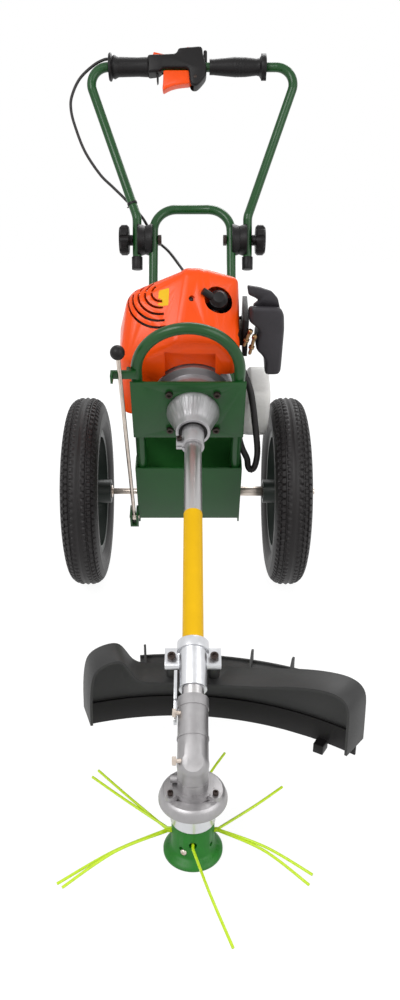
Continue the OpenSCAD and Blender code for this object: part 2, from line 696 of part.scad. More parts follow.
// String head: a moulded bobbin with a wide glide flange and four line holes
line_z = 33;
hole_d = 10;
module string_head() {
    r = head_d/2;
    g = glide_d/2;
    color("#2c8a34") difference() {
        rotate_extrude() polygon([[0, 0], [g - 2, 0], [g, 2], [g, 5], [g - 3, 8], [r + 2, 11], [r, 14],
            [r, head_h], [0, head_h]]);
        translate([0, 0, head_bore_z]) cylinder(h = head_h, d = arbor_d);
        for (q = [0, 90, 180, 270]) rotate([0, 0, q]) translate([arbor_d/2 + 6, 0, line_z]) rotate([0, 90, 0])
            cylinder(h = r, d = hole_d);
        for (q = [45, 135, 225, 315]) rotate([0, 0, q + 12]) translate([r - 4, 0, line_z - 9])
            rotate([0, 90, 0])
            cylinder(h = 6, d = 6);
    }
}

// Nylon lines: stiff cut lengths that stand out of the head's holes
line_holes = [180, 180, 180, 180, 270, 0, 0, 90, 0];
line_side = [-1.5, -1, 1, 1.5, 0, -1.5, -1, -1, 1.5];
line_rise = [1, -1, 1, -1, 0, 1, -1, 0, 0];
line_ends = [[-134, 88], [-127, 99], [-155, -82], [-148, -89], [42, -164], [138, -70], [132, -85],
    [44, 136], [117, 70]];
line_lift = [6, 8, 2, 6, 4, 3, 5, 4, 5];
module trimmer_lines() {
    color("#c8e020") for (i = [0:len(line_ends) - 1]) {
        q = line_holes[i];
        out = [cos(q), sin(q), 0];
        side = [-sin(q), cos(q), 0]*line_side[i] + [0, 0, line_z + line_rise[i]];
        e = [line_ends[i].x, line_ends[i].y, line_z + line_lift[i]/2];
        start = out*(arbor_d/2 + 6 + seat_gap) + side;
        mouth = out*(head_d/2 + 5) + side;
        mid = 0.55*mouth + 0.45*e + 8*out + [0, 0, line_lift[i]];
        cord(concat([start], smooth([mouth, mid, e], 4)), line_d, 8);
    }
}

// Wheels
function hump(x, n) = sign(x)*pow(abs(x), 2/n);
module tyre_section(h_r, w) {
    m = (wheel_r + rim_d/2)/2;
    polygon([for (k = [0:31]) let(q = 360*k/32) [m + h_r*hump(cos(q), 2.7), w/2*hump(sin(q), 2.5)]]);
}
flange_w = 44;
module tyre(s) {
    half = (wheel_r - rim_d/2)/2;
    color("#202022") translate([frame_x + axle_shift + s*track/2, axle_y, wheel_r]) rotate([0, 90, 0])
        rotate_extrude($fn = 120) difference() {
            tyre_section(half, tyre_w);
            tyre_section(half - tyre_wall, tyre_w - 2*tyre_wall);
            translate([0, -tyre_w]) square([rim_d/2, 2*tyre_w]);
            translate([rim_d/2 - 4, -flange_w/2 + 8]) square([tyre_wall + 14, flange_w - 16]);
            for (side = [-1, 1]) translate([rim_d/2 - 1, side*(flange_w/2 + 5) - 5]) square([8, 10]);
            for (z = [-12, 0, 12]) translate([wheel_r - 3, z - 1]) square([6, 2]);
        }
}
module rim(s) {
    seat = rim_d/2;
    f = flange_w/2;
    color("#2a2b2e") translate([frame_x + axle_shift + s*track/2, axle_y, wheel_r]) rotate([0, 90, 0])
        difference() {
        union() {
            rotate_extrude($fn = 96) polygon([[seat - 8, -f - 3], [seat + 6, -f - 3], [seat + 6, -f - 0.2],
                [seat - 0.2, -f - 0.2], [seat - 0.2, f + 0.2], [seat + 6, f + 0.2], [seat + 6, f + 3],
                    [seat - 8, f + 3],
                [seat - 5, f - 4], [seat - 5, -f + 4]]);
            cylinder(h = hub_len, d = hub_d, center = true);
            cylinder(h = 30, d = hub_d + 14, center = true);
            for (k = [0:spokes - 1]) rotate([0, 0, 360*k/spokes]) {
                translate([0, 0, -11]) linear_extrude(22)
                    polygon([[hub_d/2 - 2, -17], [seat - 4, -11], [seat - 4, 11], [hub_d/2 - 2, 17]]);
            }
        }
        cylinder(h = hub_len + 2, d = axle_d + 2*run_gap, center = true);
        for (z = [-1, 1]) translate([0, 0, z*hub_len/2]) cylinder(h = 8, d = hub_d - 12, center = true);
        // hollowed faces of the spokes
        for (k = [0:spokes - 1], z = [-1, 1]) rotate([0, 0, 360*k/spokes]) translate([0, 0, z*11 - 4])
            linear_extrude(8) polygon([[hub_d/2 + 12, -8], [seat - 12, -6], [seat - 12, 6], [hub_d/2 + 12, 8]]);
    }
}
module left_tyre() tyre(-1);
module left_rim() rim(-1);
module right_tyre() tyre(1);
module right_rim() rim(1);

// Engine: the fan housing behind the plate, the crankcase and the finned cylinder
fan_len = 64;
fan_back = fan_len - (plate_front - sheet);
module fan_housing() {
    color("#a8a8aa") on_shaft() translate([0, 0, -(plate_front - sheet)]) difference() {
        union() {
            cylinder(h = 12, r = fan_r);
            translate([0, 0, 8]) cylinder(h = fan_len - 8, r = fan_r - 6);
            translate([0, 0, fan_len - 34]) cylinder(h = 34, r = fan_r + 8);
        }
        for (x = [-1, 1], y = [-1, 1]) translate([x*bolt_pitch/2, y*bolt_pitch/2, -1])
            cylinder(h = 20, d = bolt_d);
        translate([0, 0, -1]) cylinder(h = 10, r = clutch_d/2 - 6);
    }
}
case_len = 80;
case_back = fan_back + case_len;
module crankcase() {
    color("#9a9a9c") tilted() translate([crank_x, fan_back, shaft_rise]) {
        rotate([-90, 0, 0]) cylinder(h = case_len, r = case_r);
        translate([-40, 6, 0]) cube([80, case_len - 12, case_r + 6]);
        // feet that the tank hangs from
        for (x = [-34, 22]) translate([x, 24, -tank_drop + weld_gap]) cube([12, 30, tank_drop - 30]);
    }
}
fin_n = 7;
fin_t = 3;
fin_gap = 9;
port_x = 43;
cyl_low = shaft_rise + case_r + 6;
cyl_top = cyl_low + fin_n*fin_gap + 4;
module cylinder_block() {
    mid = fan_back + case_len/2;
    translate([crank_x, mid, cyl_low]) {
        cylinder(h = cyl_top - cyl_low, r = 25);
        for (k = [0:fin_n - 1]) translate([-36, -34, 5 + k*fin_gap]) cube([72, 68, fin_t]);
        for (s = [0, 1]) mirror([s, 0, 0]) translate([20, -14, 12]) cube([port_x - 20, 28, 24]);
    }
}
module cylinder_node() {
    color("#9a9a9c") tilted() cylinder_block();
}

// Engine cover: a moulded shroud over the cylinder and the muffler. Its top slopes to the front, with a
// raised band in the
// middle, nested vent slots on the left shoulder, louvres low on the left and a recessed panel behind the
// front hoop.
// Places are in the tilted frame, with heights from the shaft's axis.
cover_front = -28;
cover_back = 98;
cover_slope = 34;
// Middles of the form's rounded corners, and their radii
cover_corners = [[-98, 0, -32, 20], [-100, 78, -32, 20], [-99, 78, 72, 20], [-92, 4, 70, 24],
    [-70, 62, 126, 36],
    [0, 78, 169, 20], [30, 78, 169, 20], [72, 86, 160, 12], [78, 86, 84, 12], [74, 86, -32, 12],
        [-8, -6, 104, 22],
    [44, -6, 104, 22], [66, -8, 88, 20], [66, -8, -32, 20]];
module cover_form(t) {
    hull() for (c = cover_corners) translate([c[0], c[1], c[2]]) sphere(r = c[3] - t, $fn = 32);
}
module cover_band() {
    hull() for (c = [[2, 78, 172], [16, 78, 172], [-16, -5, 107], [34, -5, 107]]) translate(c)
        sphere(r = 20, $fn = 24);
}
vent_n = 5;
vent_pitch = 11;
vent_middle = [-44, 52, 166];
louvre_n = 7;
panel_w = 84;
module cover_vents() {
    translate(vent_middle) rotate([0, 47, -132]) for (k = [1:vent_n], part = [[-106, 40], [-60, 100]])
        translate([0, 0, -52]) rotate([0, 0, part[0]]) rotate_extrude(angle = part[1])
            translate([2 + k*vent_pitch, 0]) square([4, 80]);
}
module engine_cover() {
    color(paint_orange) tilted() translate([0, 0, shaft_rise]) difference() {
        union() {
            difference() {
                union() {
                    cover_form(0);
                    cover_band();
                }
                cover_form(cover_t);
                // opening of the front panel
                translate([crank_x - 5 - panel_w/2, cover_front - 1, 30]) cube([panel_w, 12, 72]);
            }
            // front panel, set back between two cheeks
            intersection() {
                cover_form(1);
                translate([crank_x - 9 - panel_w/2, cover_front + 11.5, 20]) cube([panel_w + 8, cover_t, 90]);
            }
            // post that the cover's screw goes down to on the cylinder's head
            intersection() {
                cover_form(1);
                translate([crank_x, fan_back + 27, cyl_top + weld_gap - shaft_rise]) cylinder(h = 80, d = 14);
            }
        }
        // open underside, and the carburettor's side
        translate([-200, -100, -300]) cube([400, 300, 264]);
        translate([54, -100, -100]) cube([200, 300, carb.z - 10 + 100 - shaft_rise]);
        translate([54, carb.y - 29, -100]) cube([200, 200, carb.z + 44 + 100 - shaft_rise]);
        // opening round the spark plug cap
        translate(plug_top - [0, 0, shaft_rise]) rotate([cover_slope, 0, 0]) translate([0, 0, -20])
            cylinder(h = 60, d = 46);
        // round the fan housing, and the window at the back round the starter
        translate([crank_x, cover_front - 1, 0]) rotate([-90, 0, 0]) cylinder(h = 50, r = fan_r + 11);
        translate([crank_x - fan_r - 11, cover_front - 1, -100]) cube([2*fan_r + 22, 50, 100]);
        translate([crank_x - starter_r - 14, cover_back - 30, -100]) cube([2*starter_r + 28, 60, 190]);
        cover_vents();
        // louvres
        for (k = [0:louvre_n - 1]) translate([-130, -4, -24 + 12*k]) cube([22, 76, 4]);
        // screw recess
        translate([crank_x - 2, 40, 160]) rotate([cover_slope, 0, 0]) cylinder(h = 40, d = 10);
    }
}

// Muffler: the pressed steel box on the cylinder's left
module muffler() {
    color("#55555a") tilted() translate([crank_x - port_x - weld_gap - 56, fan_back + 10, shaft_rise + 34])
        difference() {
        cube([56, 60, 72]);
        translate([-1, 30, 30]) rotate([0, 90, 0]) cylinder(h = 10, d = 14);
    }
}

// Spark plug cap: the rubber boot in the cover's top, with the lead's elbow
plug_top = [50, 42, cyl_top + 30];
module spark_plug_cap() {
    foot = [crank_x + 22, fan_back + case_len/2, cyl_top + weld_gap];
    color(soft_black) tilted() {
        translate(foot) cylinder(h = 10, d = 16);
        rod(foot + [0, 0, 6], plug_top, 15);
        translate(plug_top) rotate([cover_slope, 0, 0]) {
            translate([0, 0, -8]) cylinder(h = 16, d = 30);
            translate([0, 0, 7]) cylinder(h = 8, d1 = 30, d2 = 18);
            translate([0, -2, 2]) rotate([-62, 0, 66]) cylinder(h = 32, d = 12);
        }
    }
}

// Carburettor: a small cast body between the cylinder and the filter, on its insulator
carb = [crank_x + port_x + 15 + weld_gap, fan_back + 26, cyl_low + 10];
carb_w = 26;
arm_pin_d = 5;
primer_d = 14;
primer_boss = 8;
primer_travel = 3;
module carburettor() {
    color("#b0aca0") tilted() {
        difference() {
            translate(carb) cube([carb_w, 28, 34]);
            translate([carb.x + carb_w/2, carb.y - 1, carb.z + 24]) rotate([-90, 0, 0])
                cylinder(h = 12, d = arm_pin_d);
            translate([carb.x - 1, carb.y + 14, carb.z + 16]) rotate([0, 90, 0])
                cylinder(h = carb_w + 2, d = 12);
        }
        translate([carb.x - 15, carb.y, carb.z + 2]) difference() {
            cube([15, 28, 26]);
            translate([-1, 14, 14]) rotate([0, 90, 0]) cylinder(h = 18, d = 12);
        }
        translate([carb.x + carb_w/2, carb.y + 14, carb.z - primer_boss]) difference() {
            cylinder(h = primer_boss + 1, d = primer_d + 8);
            translate([0, 0, -1]) cylinder(h = primer_boss, d = primer_d + 2*run_gap);
        }
    }
}

// Throttle arm: the lever on the carburettor's throttle spindle, which the cable pulls
module throttle_arm() {
    color("#c9a24a") tilted() translate([carb.x + carb_w/2, carb.y, carb.z + 24]) rotate([90, 0, 0]) {
        translate([0, 0, -8]) cylinder(h = 8 + seat_gap + 4, d = arm_pin_d - 2*run_gap);
        difference() {
            translate([0, 0, seat_gap]) linear_extrude(3) hull() {
                circle(r = 6, $fn = 32);
                translate([4, -16]) circle(r = 4, $fn = 32);
            }
            translate([4, -16, -1]) cylinder(h = 6, d = 3);
        }
    }
}

// Primer bulb under the carburettor
module primer_bulb() {
    color("#d8d0c0") tilted() translate([carb.x + carb_w/2, carb.y + 14, carb.z - 1 - primer_travel - seat_gap]) rotate([180, 0, 0])
        rotate_extrude() polygon([[0, 0], [primer_d/2, 0], [primer_d/2, 4], [primer_d/2 - 1.5, 7], [3, 9.5],
            [0, 10]]);
}

// Filter base: the black plate between the carburettor and the filter cover
filter_x = carb.x + carb_w;
filter_back = carb.y + 50;
choke_pin = [filter_x + 3, filter_back, carb.z + 20];
module filter_base() {
    color(soft_black) tilted() difference() {
        translate([filter_x, carb.y - 22, carb.z - 6]) cube([8, filter_back - carb.y + 22, 72]);
        translate([filter_x - 1, carb.y + 14, carb.z + 16]) rotate([0, 90, 0]) cylinder(h = 10, d = 12);
        translate(choke_pin - [0, 12, 0]) rotate([-90, 0, 0]) cylinder(h = 24, d = 4);
    }
}

// Choke lever on the filter base's back edge
module choke_lever() {
    color(soft_black) tilted() translate(choke_pin + [0, seat_gap, 0]) rotate([-90, 0, 0]) {
        translate([0, 0, -10]) cylinder(h = 12, d = 4 - 2*run_gap);
        linear_extrude(4) hull() {
            circle(r = 4, $fn = 32);
            translate([-20, 6]) circle(r = 3.5, $fn = 32);
        }
    }
}

// Filter cover: the deep moulded box at the engine's right, narrower below, with a visor that juts inward at
// its top
module soft_box(lo, hi, r) {
    hull() for (x = [lo.x + r, hi.x - r], y = [lo.y + r, hi.y - r], z = [lo.z + r, hi.z - r])
        translate([x, y, z]) sphere(r = r, $fn = 20);
}
filter_w = 63;
filter_d = 76;
filter_soft = 16;
// Outline seen from the front: across from the filter base's face, and up from the carburettor's foot
filter_line = [[-6, 127], [13, 127], [33, 122], [filter_w - 17, 112], [filter_w - 9, 93],
    [filter_w - 4, 70], [filter_w, 42],
    [filter_w, -46], [filter_w - 7, -50], [36, -50], [28, -22], [23, 36], [weld_gap, 46], [weld_gap, 78],
        [4, 97], [15, 100],
    [4, 109], [-3, 118]];
module filter_cover() {
    y0 = carb.y - 24;
    color("#3c3e42") tilted() translate([filter_x + 8, y0, carb.z]) intersection() {
        translate([0, filter_d, 0]) rotate([90, 0, 0]) linear_extrude(filter_d) polygon(filter_line);
        soft_box([-40, 0, -80], [filter_w, filter_d, 180], filter_soft);
    }
}

// Fuel tank: the blow-moulded tank under the engine, which rises at its right end
tank_right = axle_shift + track/2 - tyre_w/2 - 7;
cap_d = 40;
cap_h = 16;
tank_cap = [76, 104, tank_low + 29];
neck_d = cap_d - 14;
module fuel_tank() {
    color([0.92, 0.92, 0.9]) tilted() {
        soft_box([-92, 4, tank_low], [tank_right, tank_cap.y, shaft_rise - tank_drop], 14);
        soft_box([100, 12, tank_low + 12], [tank_right - 7, tank_cap.y - 9, tank_low + 112], 18);
        translate([tank_cap.x, tank_cap.y - 6, tank_cap.z]) rotate([-90, 0, 0]) cylinder(h = 12, d = neck_d);
    }
}

// Fuel cap: the ribbed screw cap at the tank's back
module fuel_cap() {
    color(soft_black) tilted() translate([tank_cap.x, tank_cap.y + seat_gap, tank_cap.z]) rotate([-90, 0, 0])
        difference() {
            cylinder(h = cap_h, d = cap_d);
            translate([0, 0, -1]) cylinder(h = 8, d = neck_d + 2*run_gap);
            for (k = [0:17]) rotate([0, 0, 20*k]) translate([cap_d/2 + 0.6, 0, -1])
                cylinder(h = cap_h + 2, d = 3.4);
        }
}

// Starter housing: the round recoil starter at the engine's back
starter_len = 34;
rope_d = 10;
starter_rope = [crank_x - 34, case_back + 20, shaft_rise + 50];
module starter_housing() {
    color(soft_black) tilted() difference() {
        union() {
            translate([crank_x, case_back, shaft_rise]) rotate([-90, 0, 0]) rotate_extrude()
                polygon([[0, 0], [starter_r, 0], [starter_r, starter_len - 10],
                    [starter_r - 8, starter_len], [0, starter_len]]);
            translate([starter_rope.x - 14, case_back, starter_rope.z - 10]) cube([28, starter_len, 26]);
        }
        for (k = [0:11]) translate([crank_x, case_back + starter_len, shaft_rise]) rotate([0, 30*k, 0])
            translate([24, -5, -3]) cube([28, 10, 6]);
        translate([starter_rope.x, starter_rope.y, starter_rope.z + 17 - 10])
            cylinder(h = 20, d = rope_d + 2*hole_gap);
    }
}

// Starter grip: the pull handle of the recoil starter
module starter_grip() {
    color(soft_black) tilted() translate([starter_rope.x, starter_rope.y, starter_rope.z + 16 + seat_gap]) {
        translate([0, 0, -8]) cylinder(h = 9, d = rope_d);
        difference() {
            translate([-26, 0, 8]) rotate([0, 90, 0]) cylinder(h = 52, d = 16);
            translate([0, 0, 26]) rotate([90, 0, 0]) cylinder(h = 30, r = 12, center = true);
        }
    }
}

// Clamp: saddles on the hoop's legs and on the handle's legs, with a bolt through both
saddle_wrap = 2;
module mast_leg_cut() {
    translate([mast_hw, 0, 0]) rotate([mast_angle - 90, 0, 0])
        cylinder(h = 2*saddle_d, r = frame_r + weld_gap, center = true);
}
module lower_saddles() {
    color(soft_black) translate(pivot) for (s = [0, 1]) mirror([s, 0, 0]) difference() {
        translate([mast_hw + saddle_wrap, 0, 0]) rotate([0, 90, 0]) rotate_extrude()
            polygon([[0, 0], [saddle_d/2, 0], [saddle_d/2, 3],
                [saddle_d/2 - 4, saddle_face - mast_hw - saddle_wrap - seat_gap/2],
                [0, saddle_face - mast_hw - saddle_wrap - seat_gap/2]]);
        mast_leg_cut();
        rotate([0, 90, 0]) cylinder(h = 300, d = clamp_bolt_d + 2*run_gap);
    }
}
module upper_saddles() {
    depth = handle_hw - saddle_wrap - saddle_face - seat_gap/2;
    color(soft_black) at_handle() for (s = [0, 1]) mirror([s, 0, 0]) difference() {
        translate([handle_hw - saddle_wrap, 0, 0]) rotate([0, -90, 0]) rotate_extrude()
            polygon([[0, 0], [saddle_d/2, 0], [saddle_d/2, 3], [saddle_d/2 - 4, depth], [0, depth]]);
        translate([handle_hw, 0, 0]) cylinder(h = 2*saddle_d, r = frame_r + weld_gap, center = true);
        rotate([0, 90, 0]) cylinder(h = 300, d = clamp_bolt_d + 2*run_gap);
    }
}
bolt_head = 7;
module clamp_bolts() {
    color("#303032") translate(pivot) for (s = [0, 1]) mirror([s, 0, 0]) rotate([0, 90, 0]) {
        translate([0, 0, mast_hw - frame_r - weld_gap])
            cylinder(h = handle_hw - mast_hw + 2*frame_r + 22, d = clamp_bolt_d);
        translate([0, 0, mast_hw - frame_r - weld_gap - bolt_head]) cylinder(h = bolt_head, d = 22, $fn = 6);
    }
}

// Star knobs: lobed hand nuts on the clamp bolts
knob_boss = 7;
lobe_n = 7;
module star_knob(s) {
    color(soft_black) translate(pivot) mirror([s, 0, 0]) translate([handle_hw + frame_r + seat_gap, 0, 0])
        rotate([0, 90, 0])
        difference() {
            union() {
                cylinder(h = knob_boss + 1, d = 22);
                translate([0, 0, knob_boss]) difference() {
                    rotate_extrude() polygon([[0, 0], [knob_d/2 - 4, 0], [knob_d/2, 4], [knob_d/2, knob_t - 5],
                        [knob_d/2 - 5, knob_t], [0, knob_t]]);
                    for (k = [0:lobe_n - 1]) rotate([0, 0, 360*k/lobe_n]) translate([knob_d/2 + 4, 0, -1])
                        cylinder(h = knob_t + 2, r = 9);
                }
            }
            translate([0, 0, -1]) cylinder(h = 24, d = clamp_bolt_d + 2*run_gap);
        }
}
module left_star_knob() star_knob(1);
module right_star_knob() star_knob(0);

// Handlebar: one bent tube, straight through the clamps, splayed above them, with a wide top bar
module handlebar() {
    left = [[-handle_hw, 0, -handle_tail], [-handle_hw, 0, handle_knee], [-handle_top_hw, 0, handle_h]];
    pts = [left[0], left[1], left[2], flip(left[2]), flip(left[1]), flip(left[0])];
    color(frame_green) at_handle() difference() {
        bent_tube(pts, [0, 40, handle_bend, handle_bend, 40, 0], frame_tube_d, frame_wall);
        rotate([0, 90, 0]) cylinder(h = 3*handle_hw, d = clamp_bolt_d + 2*run_gap, center = true);
    }
}

// End caps on the handle's lower ends
cap_len = 26;
module end_caps() {
    color(soft_black) at_handle() for (s = [-1, 1]) translate([s*handle_hw, 0, -handle_tail - 3]) difference() {
        cylinder(h = cap_len, r = frame_r + 2);
        translate([0, 0, 3]) cylinder(h = cap_len, r = bar_r);
    }
}

// Grips: turned along the top bar, which they sit on
module along_bar(x) {
    at_handle() translate([x, 0, handle_h]) rotate([0, 90, 0]) children();
}
grip_left = -174;
grip_len = 82;
right_grip_x = 36;
right_grip_len = 118;
module throttle_grip() {
    color(soft_black) along_bar(grip_left) difference() {
        rotate_extrude() polygon([[0, 0], [25, 0], [27, 2], [27, 5], [21, 8], [23, 12], [19, 20],
            [18, grip_len - 20],
            [19, grip_len], [0, grip_len]]);
        translate([0, 0, -1]) cylinder(h = grip_len + 2, r = bar_r);
        translate([-16, 0, -1]) cylinder(h = 20, d = cable_d + 1);
    }
}
module right_grip() {
    ribs = 9;
    color(soft_black) along_bar(right_grip_x) difference() {
        union() {
            rotate_extrude() polygon([[0, 0], [15, 0], [15, 8], [17, 30], [19, 55], [18.5, 75], [16, 98],
                [17, 104],
                [23, 108], [24, 112], [24, right_grip_len - 2], [22, right_grip_len], [0, right_grip_len]]);
            for (q = [0, 180]) rotate([0, 0, q]) translate([20, 0, 108])
                cylinder(h = right_grip_len - 108, r = 7);
        }
        translate([0, 0, -1]) cylinder(h = right_grip_len + 2, r = bar_r);
        for (k = [0:ribs - 1]) translate([0, 0, 30 + k*6.5]) rotate_extrude() translate([18.6, 0])
            square([2, 2]);
    }
}

// Control housing: the moulded block beside the grip, with the slots for the trigger, the lockout and the
// switch
house_l = grip_left + grip_len;
house_r = right_grip_x - 15;
house_t = 36;
trigger_t = 20;
trigger_pin = [-6, 0, handle_h - 26];
lock_pin = [-44, 0, handle_h + 15];
switch_x = -7;
module house_outline() {
    translate([0, handle_h]) polygon([[house_l, -18], [house_l + 20, -20], [house_l + 22, -34],
        [house_l + 26, -34], [house_l + 28, -22],
        [trigger_pin.x - 8, -22], [trigger_pin.x - 6, -40], [trigger_pin.x + 2, -44], [house_r - 8, -42],
            [house_r, -30],
        [house_r, 26], [house_r - 2, 36], [house_r - 10, 33], [-28, 33], [-31, 24], [-40, 20],
            [house_l + 20, 18], [house_l, 18]]);
}
module control_housing() {
    color(soft_black) at_handle() {
        difference() {
            translate([0, house_t/2, 0]) rotate([90, 0, 0]) linear_extrude(house_t) house_outline();
            translate([house_l - 1, 0, handle_h]) rotate([0, 90, 0]) cylinder(h = 200, r = bar_r);
            // trigger slot, from below
            translate([house_l + 24, -trigger_t/2 - seat_gap, handle_h - 60])
                cube([trigger_pin.x + 9 - house_l - 24, trigger_t + 2*seat_gap, 49]);
            translate(trigger_pin) rotate([90, 0, 0]) cylinder(h = house_t + 2, d = 5, center = true);
            // lockout slot, from above
            translate([house_l + 8, -8 - seat_gap, handle_h + 10.5]) cube([54, 16 + 2*seat_gap, 20]);
            translate(lock_pin) rotate([90, 0, 0]) cylinder(h = 30, d = 4, center = true);
            // switch slot
            translate([switch_x - 9, -4 - seat_gap, handle_h + 26]) cube([20, 8 + 2*seat_gap, 12]);
        }
        // clamp band round the bar
        translate([house_r, 0, handle_h]) rotate([0, 90, 0]) difference() {
            union() {
                cylinder(h = 12, r = 17);
                translate([-32, -6, 2]) cube([24, 12, 8]);
            }
            translate([0, 0, -1]) cylinder(h = 14, r = bar_r);
        }
    }
}

// Trigger: the orange throttle lever under the housing
module trigger() {
    x0 = house_l + 30;
    color(paint_orange) at_handle() {
        difference() {
            translate([0, trigger_t/2, 0]) rotate([90, 0, 0]) linear_extrude(trigger_t)
                translate([0, handle_h]) polygon([[x0, -32], [x0 + 2, -46], [x0 + 6, -48], [x0 + 14, -41],
                    [x0 + 30, -38],
                    [trigger_pin.x - 10, -36], [trigger_pin.x + 4, -31], [trigger_pin.x + 5, -24],
                        [trigger_pin.x - 4, -20],
                    [trigger_pin.x - 12, -20], [x0 + 8, -28]]);
            translate(trigger_pin) rotate([90, 0, 0]) cylinder(h = house_t, d = 5 + 2*run_gap, center = true);
        }
    }
}

// Lockout lever: the orange tongue on top of the housing, pressed by the palm
module lockout_lever() {
    color(paint_orange) at_handle() difference() {
        translate([0, 8, 0]) rotate([90, 0, 0]) linear_extrude(16)
            translate([0, handle_h]) polygon([[house_l + 10, 22], [house_l + 12, 27], [lock_pin.x + 2, 19],
                [lock_pin.x + 4, 14],
                [lock_pin.x, 11], [lock_pin.x - 6, 13]]);
        translate(lock_pin) rotate([90, 0, 0]) cylinder(h = 30, d = 4 + 2*run_gap, center = true);
    }
}

// Stop switch: the red slider on the housing's top
module stop_switch() {
    color("#d03018") at_handle() translate([switch_x - 6, -4, handle_h + 26 + seat_gap]) {
        cube([10, 8, 7]);
        translate([2, 1, 7 - eps]) cube([6, 6, 6]);
    }
}

// Lock lever at the frame's left, hinged in the box's clevis, and its ball
lever_d = 7;
ball_d = 24;
ball_rise = 57;
ball_m = [lever_pin.x - 6, lever_pin.y, keeper_z + ball_rise];
module lock_lever() {
    color("#b8b4ae") tilted() {
        translate(lever_pin) rotate([0, 90, 0]) cylinder(h = clevis_gap - 2*seat_gap, d = 14, center = true);
        rod(lever_pin, ball_m, lever_d);
        translate(lever_pin) rotate([0, 90, 0])
            cylinder(h = 2*clevis_t + clevis_gap + 3, d = lever_pin_d + 2*hole_gap - 2*run_gap, center = true);
    }
}
module lever_ball() {
    color(soft_black) tilted() difference() {
        translate(ball_m) sphere(d = ball_d, $fn = 48);
        rod(lever_pin, ball_m, lever_d);
    }
}

// Throttle cable: from the grip, in a loop beside the handle, down to the tie on the left leg
cable_d = 6;
upper_route = [[-170, 0, 370], [-184, 0, 369], [-207, 2, 358], [-236, 4, 332], [-253, 5, 297], [-255, 6, 270],
    [-247, 6, 237], [-227, 8, 186], [-196, 11, 140], [-170, 13.3, 115], [-152, 13.3, 98], [-141, 13.3, 87],
        [-130, 13.3, 76]];
module cable_upper() {
    color(soft_black) at_handle() cord(smooth(upper_route, 3), cable_d, 8);
}
// From the tie behind the clamp and above the engine's back, to the conduit at the engine's right side
conduit_points = [[78, 102, 42.7], [78, 86, 39.7], [80, 50, 37.7], [84, 10, 31.7], [88, -20, 3.7],
    [89, -25, -38.3], [91, -24, -83.3], [98, -22, -116.3], [109, -21, -146.3], [112, -21, -166.3],
    [118, -22, -175.3], [125, -22, -163.3], [127, -22, -123.3], [118, -22, -50.3], [108, -19, 11.7],
    [96, -8, 43.7], [90, 2, 50.7]];
conduit_route = [for (p = conduit_points) p + [0, 0, shaft_rise]];
conduit_way = unit(conduit_route[1] - conduit_route[0]);
tie_end = upper_route[len(upper_route) - 1];
tie_way = unit(tie_end - upper_route[len(upper_route) - 2]);
lower_route = [from_handle(tie_end + tie_way), from_handle(tie_end + 13*tie_way), from_handle([-110, 20, 56]),
    [-103, 1080, 668], [-92, 1084, 648], [-74, 1064, 628],
    [-50, 1020, 612], from_tilted([-12, 368.1, shaft_rise + 10.5]), from_tilted([18, 291.9, shaft_rise + 12.5]),
    from_tilted([48, 208.8, shaft_rise + 23.2]), from_tilted([70, 143.1, shaft_rise + 35.8]),
    from_tilted(conduit_route[0] - 12*conduit_way), from_tilted(conduit_route[0] - seat_gap*conduit_way)];
module cable_lower() {
    color(soft_black) cord(smooth(lower_route, 3), cable_d, 8);
}
// The ribbed conduit, in the tilted frame: along the engine's right side, down to a loop and up to the
// carburettor
conduit_d = 12;
rib_steps = 14;
module cable_conduit() {
    p = smooth(conduit_route, rib_steps);
    n = len(p);
    q = [for (i = [0:7:n - 1]) p[i]];
    m = len(q);
    sides = 8;
    outer = [for (i = [0:n - 1]) i < 3 || i > n - 4 ? conduit_d/2 - 0.5 : conduit_d/2 - (i % 2)];
    inner = [for (i = [0:m - 1]) cable_d/2 + 0.4];
    skip = n*sides;
    bore = [for (f = walls(m, sides)) [f[0] + skip, f[2] + skip, f[1] + skip]];
    mouth = [for (e = [0, 1], k = [0:sides - 1], h = [0, 1])
        let(j = (k + 1) % sides, o = e*(n - 1)*sides, w = skip + e*(m - 1)*sides,
            a = o + k, b = o + j, c = w + k, d = w + j)
        h == 0 ? (e == 0 ? [a, b, c] : [a, c, b]) : (e == 0 ? [b, d, c] : [b, c, d])];
    color(soft_black) tilted() polyhedron(concat(rings(p, outer, sides), rings(q, inner, sides)),
        concat(walls(n, sides), bore, mouth));
}

base_box();
front_hoop();
engine_plate();
rear_hoop();
axle();
axle_hardware();
screws();
clutch_housing();
clutch_bush();
tube_collar();
shaft_tube();
guard_clamp();
guard_strap();
guard();
guard_skirt();
gear_case();
gear_shield();
fan_housing();
crankcase();
cylinder_node();  // cylinder
engine_cover();
muffler();
spark_plug_cap();
carburettor();
filter_base();
filter_cover();
fuel_tank();
starter_housing();
lower_saddles();
clamp_bolts();
cable_lower();
cable_conduit();
left_tyre();
left_rim();
right_tyre();
right_rim();
arbor();
head_collar();
string_head();
trimmer_lines();
drive_shaft();
handlebar();
throttle_grip();
control_housing();
right_grip();
end_caps();
upper_saddles();
cable_upper();
trigger();
lockout_lever();
stop_switch();
left_star_knob();
right_star_knob();
lock_lever();
lever_ball();
fuel_cap();
starter_grip();
primer_bulb();
choke_lever();
throttle_arm();
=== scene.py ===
import math

import bmesh
import bpy
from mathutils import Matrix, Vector
from mathutils.bvhtree import BVHTree


